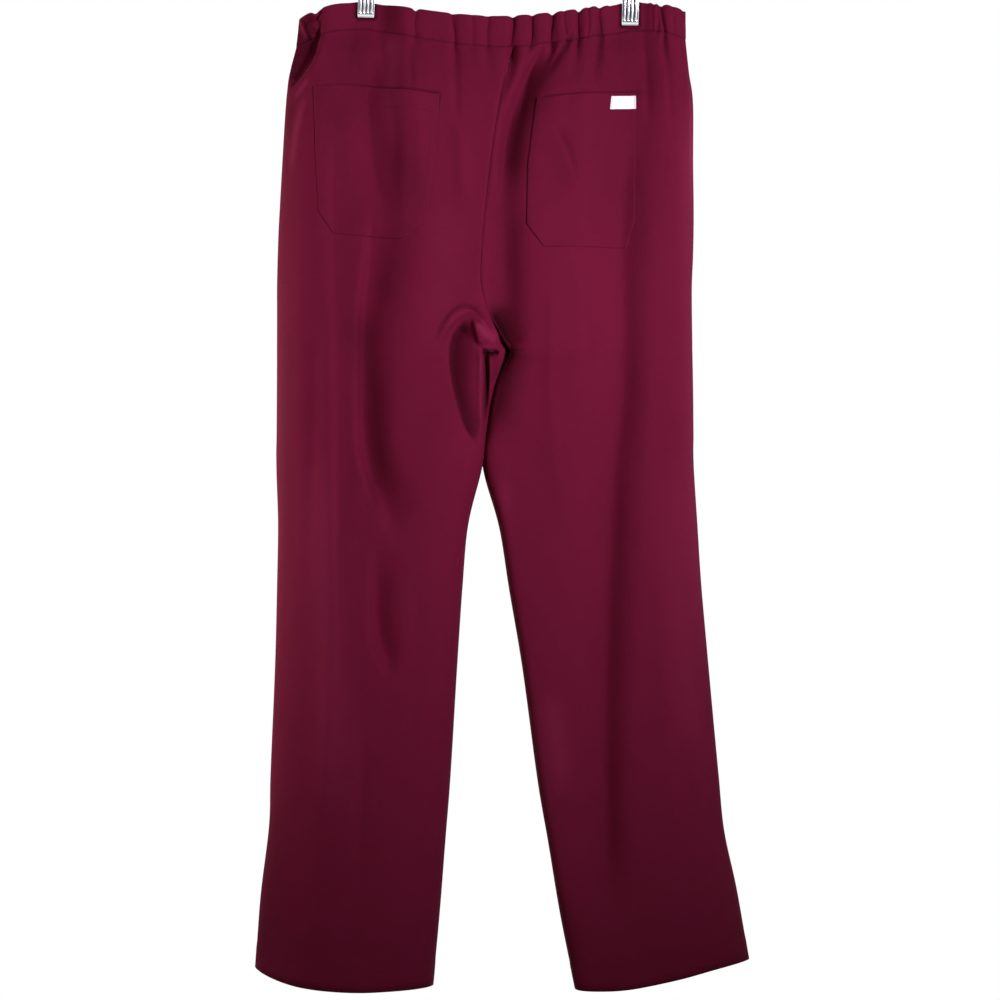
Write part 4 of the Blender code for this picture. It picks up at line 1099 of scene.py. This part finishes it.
hanger = {
    "tilt": math.radians(1.7),
    "barZ": -72.0,
    "barRadius": 2.4,
    "barHalf": 172.0,
    "knobRadius": 4.0,
    "wire": 1.75,
    "hookRadius": 19.0,
    "collarRadius": 6.0,
    "collarHalf": 9.0,
    "clips": (-139.1, 145.9),
    "knobStart": 0.65,  # the angle at which the knob's ball leaves the bar
    "knobSteps": 12,
    "bore": 0.08,  # the collar's play on the bar
    # the collar's outline: along from an end, and in from its radius
    "collarLine": ((0, 0.8), (0.5, 0.3), (1.6, 0.3), (2.2, 1.0), (5.6, 1.0), (6.4, 0)),
    "stemIn": 0.6,  # how far the hook's foot reaches into the collar
    "stem": ((0, 0), (0, 5), (0, 10), (-1.5, 16.5), (-8, 22.5)),  # from the foot
    "hookArc": (212, -28, 49),  # its first and last angle and its points
    "hookBevel": 6,
    "tip": 0.5,  # how much thicker than the wire
    "tipSteps": (24, 12),
    "turnSteps": 48,
    "merge": 1e-4,
    "turnedSharp": 35,  # the angles above which edges stay sharp
    "hookSharp": 50,
}


def hung(x, y, z):
    turned, tilt = math.cos(hanger["tilt"]), math.sin(hanger["tilt"])
    return Vector((x * turned + z * tilt, y, -x * tilt + z * turned)) * mm


def metalObject(name, builder, sharpAngle):
    made = addPiece(name, builder)
    made.data.set_sharp_from_angle(angle=math.radians(sharpAngle))
    return made


def turnedPiece(name, profile):
    # a profile of x and radius, spun round the bar's line
    builder = bmesh.new()
    verts = [builder.verts.new((x, 0, radius)) for x, radius in profile]
    looped = profile[0][1] > 0
    pairs = list(zip(verts, verts[1:])) + ([(verts[-1], verts[0])] if looped else [])
    edges = [builder.edges.new(pair) for pair in pairs]
    bmesh.ops.spin(builder, geom=verts + edges, axis=(1, 0, 0), cent=(0, 0, 0), angle=2 * math.pi,
                   steps=hanger["turnSteps"], use_merge=True)
    bmesh.ops.remove_doubles(builder, verts=builder.verts[:], dist=hanger["merge"])
    bmesh.ops.recalc_face_normals(builder, faces=builder.faces[:])
    for vert in builder.verts:
        vert.co = hung(vert.co.x, vert.co.y, hanger["barZ"] + vert.co.z)
    return metalObject(name, builder, hanger["turnedSharp"])


def makeBar():
    radius, knob, end = hanger["barRadius"], hanger["knobRadius"], hanger["barHalf"]
    centre = end - knob
    angles = np.linspace(hanger["knobStart"], math.pi, hanger["knobSteps"])
    ball = [(centre - knob * math.cos(a), knob * math.sin(a)) for a in angles]
    right = [(centre - knob, radius)] + ball[:-1] + [(end, 0)]
    left = [(-x, r) for x, r in reversed(right)]
    return turnedPiece("bar_steel", left + right)


def makeCollar():
    half, radius = hanger["collarHalf"], hanger["collarRadius"]
    profile = [(-half, hanger["barRadius"] + hanger["bore"])]
    profile += [(along - half, radius - inward) for along, inward in hanger["collarLine"]]
    profile += [(-x, r) for x, r in reversed(profile)]
    return turnedPiece("collar_steel", profile)


def makeHook():
    wire, seat = hanger["wire"], -hanger["hookRadius"]
    foot = hanger["barZ"] + hanger["collarRadius"] - hanger["stemIn"]
    stem = [(x, foot + up) for x, up in hanger["stem"]]
    ring = hanger["hookRadius"] + wire
    angles = np.radians(np.linspace(*hanger["hookArc"]))
    arc = [(ring * math.cos(t), seat + ring * math.sin(t)) for t in angles]
    data = bpy.data.curves.new("hook_steel", "CURVE")
    data.dimensions = "3D"
    data.bevel_depth = wire * mm
    data.bevel_resolution = hanger["hookBevel"]
    data.use_fill_caps = True
    spline = data.splines.new("POLY")
    route = stem + arc
    spline.points.add(len(route) - 1)
    for point, (x, z) in zip(spline.points, route):
        point.co = (*hung(x, 0, z), 1)
    made = bpy.data.objects.new("hook_wire", data)
    bpy.context.scene.collection.objects.link(made)
    shaped = made.evaluated_get(bpy.context.evaluated_depsgraph_get())
    builder = bmesh.new()
    builder.from_mesh(bpy.data.meshes.new_from_object(shaped))
    bpy.data.objects.remove(made)
    around, down = hanger["tipSteps"]
    tip = Matrix.Translation(hung(arc[-1][0], 0, arc[-1][1]))
    bmesh.ops.create_uvsphere(builder, u_segments=around, v_segments=down, matrix=tip,
                              radius=(wire + hanger["tip"]) * mm)
    return metalObject("hook_steel", builder, hanger["hookSharp"])


clip = {
    "half": 9.0,
    "sheet": 0.9,
    "line": (
        (14, -45), (10.6, -54), (8.0, -64), (7.2, -74), (5.6, -84), (4.5, -91), (3.95, -97),
        (3.95, -112), (4.3, -115), (5.1, -117.5),
    ),
    "nearby": 0.2,  # the step along that line which gives its direction
    "across": 36,
    "down": 110,
    "ribs": 4.4,
    "ribDepth": 0.42,
    "ribFrom": 30.0,  # up from the lip
    "ribTo": 4.6,
    "ribFades": (2, 1.2),
    "grooveEdge": 0.1,
    "beadAt": 6.2,
    "beadWidth": 1.2,
    "beadDepth": 0.3,
    "lipHeight": 3.2,
    "lipDepth": 0.55,
    "lipPower": 0.7,
    "boss": 0.5,
    "bossWide": 0.62,
    "bossDown": 7,
    "bossFades": (1.2, 4, 4),  # to the sides, to the flutes and to the top
    "cornerRound": 2.4,
    "topRound": 0.25,  # of the lip's rounding, which the top corners keep
    "springRadius": 5.2,
    "springWire": 0.85,
    "springSides": 12,
    "springTurns": 6,
    "springSteps": 26,
    "springHalf": 5.6,
    "sharp": 60,
    "turns": (0.0, 0.05),
    # painted shade on the jaws: how dark the flutes' grooves are painted on each clip, the place, width and
    # darkness of a painted shadow line under the beads, and where the painted shade stops short of the side
    # rims
    "grooveShades": (0.8, 0.92),
    "lineAt": 4.3,
    "lineWidth": 0.8,
    "lineShade": 0.9,
    "rim": 0.86,
    "rimFade": 0.06,
}


def makeJaw(name, place, sign, turn, grooveShade):
    # a pressed sheet with a raised middle, flutes above its lip and rounded corners
    line = np.array(clip["line"], float)
    knots = np.concatenate([[0], np.cumsum(np.linalg.norm(np.diff(line, axis=0), axis=1))])
    total = knots[-1]
    builder = bmesh.new()
    paintedLightLayer = builder.verts.layers.float.new("paintedLight")
    bmesh.ops.create_grid(builder, x_segments=clip["across"], y_segments=clip["down"], size=1.0)
    for vert in builder.verts:
        run = (1 - vert.co.y) / 2 * total
        (y, z), ahead, behind = (
            [float(curveThrough(knots, line[:, k], at)) for k in (0, 1)]
            for at in (run, min(run + clip["nearby"], total), max(run - clip["nearby"], 0))
        )
        step = unit(np.array([ahead[0] - behind[0], ahead[1] - behind[1]]))
        outY, outZ = -step[1], step[0]
        fromLip = total - run
        corner = max(clip["cornerRound"] - min(run, fromLip), 0)
        narrow = clip["cornerRound"] - math.sqrt(max(clip["cornerRound"] ** 2 - corner**2, 0))
        half = clip["half"] - (narrow if run < fromLip else clip["topRound"] * narrow)
        x = vert.co.x * half
        fadeAbove, fadeBelow = clip["ribFades"]
        fluted = float(smoothStep((clip["ribFrom"] - fromLip) / fadeAbove)
                       * smoothStep((fromLip - clip["ribTo"]) / fadeBelow))
        wave = math.cos(2 * math.pi * (x / (2 * clip["half"]) * clip["ribs"] + 0.5))
        lift = clip["ribDepth"] * fluted * wave
        fadeAside, fadeDown, fadeUp = clip["bossFades"]
        raised = float(smoothStep((clip["bossWide"] * clip["half"] - abs(x)) / fadeAside)
                       * smoothStep((fromLip - clip["ribFrom"]) / fadeDown)
                       * smoothStep((run - clip["bossDown"]) / fadeUp))
        lift += clip["boss"] * raised
        bead = clip["beadDepth"] * math.exp(-(((fromLip - clip["beadAt"]) / clip["beadWidth"]) ** 2))
        lift = max(lift, 0) + bead * max(wave, 0)
        if fromLip < clip["lipHeight"]:
            lift += clip["lipDepth"] * math.sin(math.pi * fromLip / clip["lipHeight"]) ** clip["lipPower"]
        # painted shade in the flutes' grooves and a painted shadow line under the beads, none on the side
        # rims
        groove = fluted * (1 - float(smoothStep(wave + clip["grooveEdge"])))
        shadow = math.exp(-(((fromLip - clip["lineAt"]) / clip["lineWidth"]) ** 2))
        flat = 1 - float(smoothStep((abs(x) / half - clip["rim"]) / clip["rimFade"]))
        vert[paintedLightLayer] = flat * min(grooveShade * groove + clip["lineShade"] * shadow, 1)
        lift += turn * x
        vert.co = Vector((place + x, sign * (y + lift * outY), z + lift * outZ))
    for vert in builder.verts:
        vert.co = hung(*vert.co)
    bmesh.ops.recalc_face_normals(builder, faces=builder.faces[:])
    made = metalObject(name, builder, clip["sharp"])
    addWall(made, clip["sheet"], 0.0)
    return made


def makeSpring(name, place):
    # a round wire spun into a coil about the bar
    builder = bmesh.new()
    turns, steps = clip["springTurns"], clip["springSteps"]
    start = Matrix.Translation((-clip["springHalf"], 0, clip["springRadius"]))
    bmesh.ops.create_circle(builder, cap_ends=True, segments=clip["springSides"],
                            radius=clip["springWire"],
                            matrix=start @ Matrix.Rotation(math.radians(90), 4, "X"))
    pitch = 2 * clip["springHalf"] / turns
    bmesh.ops.spin(builder, geom=builder.verts[:] + builder.edges[:] + builder.faces[:],
                   axis=(1, 0, 0), cent=(0, 0, 0), dvec=(pitch / steps, 0, 0),
                   angle=2 * math.pi * turns, steps=steps * turns)
    bmesh.ops.recalc_face_normals(builder, faces=builder.faces[:])
    for vert in builder.verts:
        vert.co = hung(place + vert.co.x, vert.co.y, hanger["barZ"] + vert.co.z)
    return metalObject(name, builder, clip["sharp"])


metal = {"bar": makeBar(), "collar": makeCollar(), "hook": makeHook()}
for side, place, *leaf in zip(("left", "right"), hanger["clips"], clip["turns"], clip["grooveShades"]):
    metal[f"clip_{side}_spring"] = makeSpring(f"clip_{side}_coil", place)
    for jaw, sign in (("back", -1), ("front", 1)):
        metal[f"clip_{side}_{jaw}_jaw"] = makeJaw(f"clip_{side}_{jaw}_plate", place, sign, *leaf)
print("hanger made")


class Value:
    # a node's output, for sums written as plain expressions
    def __init__(self, look, socket):
        self.look = look
        self.socket = socket

    def __add__(self, other):
        return self.look.sum("ADD", self, other)

    def __radd__(self, other):
        return self.look.sum("ADD", other, self)

    def __sub__(self, other):
        return self.look.sum("SUBTRACT", self, other)

    def __rsub__(self, other):
        return self.look.sum("SUBTRACT", other, self)

    def __mul__(self, other):
        return self.look.sum("MULTIPLY", self, other)

    def __rmul__(self, other):
        return self.look.sum("MULTIPLY", other, self)


class Look:
    # a material, and the one way in which its nodes are added
    def __init__(self, name, colour, **settings):
        self.material = bpy.data.materials.new(name)
        self.material.use_nodes = True
        self.tree = self.material.node_tree
        self.shader = self.tree.nodes["Principled BSDF"]
        self.shader.inputs["Base Color"].default_value = (*colour, 1)
        for socket, value in settings.items():
            self.shader.inputs[socket].default_value = value

    def node(self, kind, settings={}, sockets={}, output=0):
        made = self.tree.nodes.new(kind)
        for name, value in settings.items():
            setattr(made, name, value)
        for name, value in sockets.items():
            self.feed(made.inputs[name], value)
        return Value(self, made.outputs[output])

    def feed(self, socket, value):
        if isinstance(value, Value):
            self.tree.links.new(value.socket, socket)
        else:
            socket.default_value = value

    def sum(self, operation, first, second=0.0):
        return self.node("ShaderNodeMath", {"operation": operation}, {0: first, 1: second})

    def give(self, name, value):
        self.feed(self.shader.inputs[name], value)

    def mix(self, factor, first, second, blend="MIX"):
        return self.node("ShaderNodeMix", {"data_type": "RGBA", "blend_type": blend},
                         {0: factor, 6: first, 7: second}, output=2)

    def noise(self, place, scale, detail=2.0, roughness=0.5):
        # as fine along each axis as the scale's three numbers say
        turned = self.node("ShaderNodeMapping", {}, {"Vector": place, "Scale": scale})
        sockets = {"Vector": turned, "Scale": 1.0, "Detail": detail, "Roughness": roughness}
        return self.node("ShaderNodeTexNoise", {}, sockets)

    def bump(self, height, strength, distance):
        sockets = {"Height": height, "Strength": strength, "Distance": distance}
        self.give("Normal", self.node("ShaderNodeBump", {}, sockets))

    def split(self, place):
        first = self.node("ShaderNodeSeparateXYZ", {}, {0: place})
        return [Value(self, output) for output in first.socket.node.outputs]

    def wave(self, along, pitch):
        return self.sum("SINE", along * (2 * math.pi / pitch))

    def ramp(self, value, low, high):
        sockets = {"Value": value, 1: low, 2: high, 3: 0.0, 4: 1.0}
        return self.node("ShaderNodeMapRange", {}, sockets)

    def clothMap(self):
        return self.node("ShaderNodeUVMap", {"uv_map": "cloth"})

    def ownPlace(self):
        return self.node("ShaderNodeTexCoord", output=3)

    def ownPaintedLight(self):
        return self.node("ShaderNodeAttribute", {"attribute_name": "paintedLight"}, output=2)


# Lengths in the looks are in metres
poplinLook = {
    "deep": (0.118, 0.0032, 0.0196),
    "bright": (0.152, 0.0052, 0.0288),
    # the colour of full painted shade, and of full painted sheen on the turned edges
    "paintedShade": (0.020, 0.0, 0.0020),
    "turned": (0.28, 0.020, 0.066),
    "warpPitch": 0.00052,
    "weftPitch": 0.00060,
    "warpSlub": (1500, 60, 1),
    "weftSlub": (45, 1300, 1),
    "mottle": (26, 18, 1),
    "mottleDetail": 3,
    "shares": (0.42, 0.38, 0.2),  # of the slubs and the mottle in the colour
    "contrast": 2.2,
    "level": 0.6,
    "weaveTone": 0.1,
    "roughness": 0.82,
    "weaveGloss": 0.08,
    "specular": 0.05,
    "sheen": 0.25,
    "sheenRoughness": 0.2,
    "sheenTint": (1.0, 0.40, 0.58, 1.0),
    "relief": (0.5, 0.8, 0.8, 0.35, 0.00022),  # of weave and slubs, strength and distance
}


def clothMaterial():
    look = Look("poplin_cloth", poplinLook["bright"])
    look.give("Roughness", poplinLook["roughness"])
    look.give("Sheen Weight", poplinLook["sheen"])
    look.give("Sheen Roughness", poplinLook["sheenRoughness"])
    look.give("Sheen Tint", poplinLook["sheenTint"])
    look.give("Specular IOR Level", poplinLook["specular"])
    place = look.clothMap()
    u, v = look.split(place)[:2]
    weave = look.wave(u, poplinLook["warpPitch"]) * look.wave(v, poplinLook["weftPitch"])
    warpSlub = look.noise(place, poplinLook["warpSlub"])
    weftSlub = look.noise(place, poplinLook["weftSlub"])
    mottle = look.noise(place, poplinLook["mottle"], poplinLook["mottleDetail"])
    warpShare, weftShare, mottleShare = poplinLook["shares"]
    worn = warpShare * warpSlub + weftShare * weftSlub + mottleShare * mottle
    worn = poplinLook["contrast"] * worn - poplinLook["level"] + poplinLook["weaveTone"] * weave
    colour = look.mix(worn, (*poplinLook["deep"], 1), (*poplinLook["bright"], 1))
    # painted shade towards the dark colour where the attribute is over 0, painted sheen towards the light one
    # below 0
    paintedLight = look.ownPaintedLight()
    colour = look.mix(look.sum("MAXIMUM", paintedLight, 0.0), colour, (*poplinLook["paintedShade"], 1))
    colour = look.mix(look.sum("MAXIMUM", 0.0 - paintedLight, 0.0), colour, (*poplinLook["turned"], 1))
    look.give("Base Color", colour)
    look.give("Roughness", poplinLook["roughness"] - poplinLook["weaveGloss"] * weave)
    woven, warped, wefted, strength, distance = poplinLook["relief"]
    look.bump(woven * weave + warped * warpSlub + wefted * weftSlub, strength, distance)
    return look.material


threadLook = {
    "whole": (0.12, 0.006, 0.024),
    "deep": (0.100, 0.004, 0.018),
    "bright": (0.140, 0.007, 0.029),
    "twist": (2600, 2600, 2600),
    "roughness": 0.62,
    "specular": 0.1,
}


def threadMaterial():
    look = Look("thread", threadLook["whole"], Roughness=threadLook["roughness"])
    look.give("Specular IOR Level", threadLook["specular"])
    twist = look.noise(look.ownPlace(), threadLook["twist"])
    look.give("Base Color", look.mix(twist, (*threadLook["deep"], 1), (*threadLook["bright"], 1)))
    return look.material


labelLook = {
    "whole": (0.82, 0.79, 0.79),
    "deep": (0.74, 0.70, 0.71),
    "bright": (0.90, 0.87, 0.87),
    # the pinker colour that the label takes towards its ends, and where and how far it comes in
    "worn": (0.72, 0.42, 0.47),
    "pinkerFrom": (0.0118, 0.0130),  # from the middle
    "pinkerShare": 0.25,
    "pitches": (0.0005, 0.0009),
    "slub": (400, 2400, 1),
    "roughness": 0.5,
    "sheen": 0.2,
    "relief": (0.25, 0.0001),
}


def labelMaterial():
    look = Look("label_satin", labelLook["whole"], Roughness=labelLook["roughness"])
    look.give("Sheen Weight", labelLook["sheen"])
    place = look.clothMap()
    u, v = look.split(place)[:2]
    rowPitch, columnPitch = labelLook["pitches"]
    rib = look.wave(v, rowPitch) * look.wave(u, columnPitch)
    slub = look.noise(place, labelLook["slub"])
    white = look.mix(slub, (*labelLook["deep"], 1), (*labelLook["bright"], 1))
    edge = look.ramp(look.sum("ABSOLUTE", u), *labelLook["pinkerFrom"])
    look.give("Base Color", look.mix(labelLook["pinkerShare"] * edge, white, (*labelLook["worn"], 1)))
    look.bump(rib, *labelLook["relief"])
    return look.material


chromeLook = {
    "whole": (0.74, 0.75, 0.77),
    "dull": (0.74, 0.75, 0.78),
    "bright": (0.92, 0.93, 0.94),
    # the colour of the painted shade in the jaws' grooves and line
    "shaded": (0.06, 0.065, 0.08),
    "worn": (240, 240, 60),
    "rubbed": (3000, 3000, 160),
    "wornDetail": (5, 0.65),
    "roughness": 0.16,
    "polish": (0.07, 0.13, 0.08),  # the least roughness, and what wear and rubbing add
    "relief": (0.06, 0.0001),
}


def chromeMaterial():
    look = Look("chrome_plate", chromeLook["whole"], Metallic=1.0, Roughness=chromeLook["roughness"])
    place = look.ownPlace()
    worn = look.noise(place, chromeLook["worn"], *chromeLook["wornDetail"])
    rubbed = look.noise(place, chromeLook["rubbed"])
    least, pinkerShare, rubbedShare = chromeLook["polish"]
    look.give("Roughness", least + pinkerShare * worn + rubbedShare * rubbed)
    colour = look.mix(worn, (*chromeLook["dull"], 1), (*chromeLook["bright"], 1))
    # painted shade: the jaws' attribute darkens the plating
    look.give("Base Color", look.mix(look.ownPaintedLight(), colour, (*chromeLook["shaded"], 1)))
    look.bump(rubbed, *chromeLook["relief"])
    return look.material


poplin, thread, labelWeave, chrome = clothMaterial(), threadMaterial(), labelMaterial(), chromeMaterial()
clothNodes = {f"{face}_{side}": panels[face, side][0] for face, side in sides}
clothNodes.update({"waistband": waistband, "pocket_left": pocketLeft, "pocket_right": pocketRight})
for node, piece in clothNodes.items():
    piece.data.materials.append(poplin)
    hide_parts(node)
    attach(piece, "root")
labelCloth.data.materials.append(labelWeave)
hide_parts("label")
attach(labelCloth, "root")
for piece in sewing + [labelStitches]:
    piece.data.materials.append(thread)
    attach(piece, "root")
for node, piece in metal.items():
    piece.data.materials.append(chrome)
    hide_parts(node)
    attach(piece, "root")
print("materials given")

# Each piece's cut: width, length and area in metres
cuts = {
    "back_left": (0.310, 1.075, 0.270),
    "back_right": (0.310, 1.075, 0.265),
    "front_left": (0.300, 1.075, 0.262),
    "front_right": (0.300, 1.075, 0.255),
    "waistband": (0.960, 0.066, None),
    "pocket_left": (0.150, 0.170, 0.0235),
    "pocket_right": (0.135, 0.175, 0.0215),
}
for node, (width, length, area) in cuts.items():
    held = "gathered" if node == "waistband" else "hung"
    rests = ["clip_left_back_plate", "clip_right_back_plate"] if node == "waistband" else ["waistband_cloth"]
    if node.startswith("pocket"):
        rests = ["back_" + node.split("_")[1] + "_cloth"]

# The view, the stage and the lights are in metres
view = {
    "distance": 3.0,
    "place": (0.0022, -0.6334),
    "focal": 100.0,
    "sensor": 36.0,
    "reach": 60.0,
    "transform": "Standard",
    "worldColour": (1.0, 0.66, 0.76, 1),
    "worldStrength": 0.065,
}
stage = {
    "floorZ": -1.45,
    "floorRadius": 1.5,
    "floorSides": 96,
    "floorColour": (0.86, 0.86, 0.87),
    "floorRoughness": 0.7,
    "floorGlow": (0.52, 0.52, 0.53, 1),
    "domeRadius": 12.0,
    "domeSteps": (48, 24),
    "domeDark": (0.30, 0.31, 0.34, 1),
    "domeLit": (1, 1, 1, 1),
    # where the dome turns light: behind the trousers, to the right, and above and below the middle
    "behindFrom": (-3.0, -1.0),
    "rightFrom": (3.0, 5.0),
    "upFrom": (3.0, 5.0),
    "middleZ": -0.5,
}


def addStage(name, builder, look):
    piece = addPiece(name, builder)
    piece.data.materials.append(look.material)
    piece.visible_diffuse = False
    look.give("Emission Strength", 1.0)
    piece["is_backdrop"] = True
    return piece


def makeFloor():
    builder = bmesh.new()
    bmesh.ops.create_circle(builder, cap_ends=True, segments=stage["floorSides"], radius=stage["floorRadius"])
    bmesh.ops.translate(builder, verts=builder.verts[:], vec=(0, 0, stage["floorZ"]))
    paint = Look("floor_paint", stage["floorColour"], Roughness=stage["floorRoughness"])
    paint.give("Emission Color", stage["floorGlow"])
    floor = addStage("floor", builder, paint)
    floor.data.shade_flat()


def makeBackdrop():
    builder = bmesh.new()
    around, down = stage["domeSteps"]
    bmesh.ops.create_uvsphere(builder, u_segments=around, v_segments=down, radius=stage["domeRadius"])
    bmesh.ops.reverse_faces(builder, faces=builder.faces[:])
    paper = Look("backdrop_paper", (0, 0, 0), Roughness=1.0)
    paper.give("Specular IOR Level", 0.0)
    across, away, up = paper.split(paper.ownPlace())
    behind = paper.ramp(away, *stage["behindFrom"])
    right = paper.ramp(across, *stage["rightFrom"])
    ends = paper.ramp(paper.sum("ABSOLUTE", up - stage["middleZ"]), *stage["upFrom"])
    lit = paper.sum("MAXIMUM", behind, paper.sum("MAXIMUM", right, ends))
    paper.give("Emission Color", paper.mix(lit, stage["domeDark"], stage["domeLit"]))
    backdrop = addStage("backdrop", builder, paper)
    backdrop.visible_shadow = False


# place, target, size, power, spread and colour
lights = {
    "key": ((1.5, -2.1, -0.32), (-0.03, 0, -0.36), 0.40, 5.0, 44, (0.90, 1.0, 1.1)),
    "fill": ((-1.9, -1.7, -0.2), (-0.1, 0, -0.4), 0.8, 1.3, 60, (1.0, 0.7, 0.8)),
    "side": ((-2.6, 0.25, -0.52), (0, 0, -0.57), 0.30, 3.1, 36, (1, 1, 1)),
    "back": ((0.3, 2.2, 0.6), (0, 0, -0.5), 1.6, 9, 180, (1, 1, 1)),
}


def makeLight(name, place, target, size, power, spread, colour):
    data = bpy.data.lights.new(name, "AREA")
    data.shape = "DISK"
    data.spread = math.radians(spread)
    data.size = size
    data.energy = power
    data.color = colour
    made = bpy.data.objects.new(name, data)
    made.location = place
    made.rotation_euler = (Vector(target) - Vector(place)).to_track_quat("-Z", "Y").to_euler()
    bpy.context.scene.collection.objects.link(made)


def makeCamera():
    data = bpy.data.cameras.new("camera")
    data.sensor_width = view["sensor"]
    data.lens = view["focal"]
    data.clip_end = view["reach"]
    made = bpy.data.objects.new("camera", data)
    made.location = (view["place"][0], -view["distance"], view["place"][1])
    made.rotation_euler = (math.radians(90), 0, 0)
    bpy.context.scene.collection.objects.link(made)
    bpy.context.scene.camera = made


def makeWorld():
    world = bpy.data.worlds.new("studio")
    bpy.context.scene.world = world
    world.use_nodes = True
    air = world.node_tree.nodes["Background"]
    air.inputs["Color"].default_value = view["worldColour"]
    air.inputs["Strength"].default_value = view["worldStrength"]
    bpy.context.scene.view_settings.view_transform = view["transform"]


makeFloor()
makeBackdrop()
for name, values in lights.items():
    makeLight(name, *values)
makeWorld()
makeCamera()
print("stage, lights and camera placed")

faces = sum(len(piece.data.polygons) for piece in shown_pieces() if piece.type == "MESH")
print("faces before modifiers:", faces)
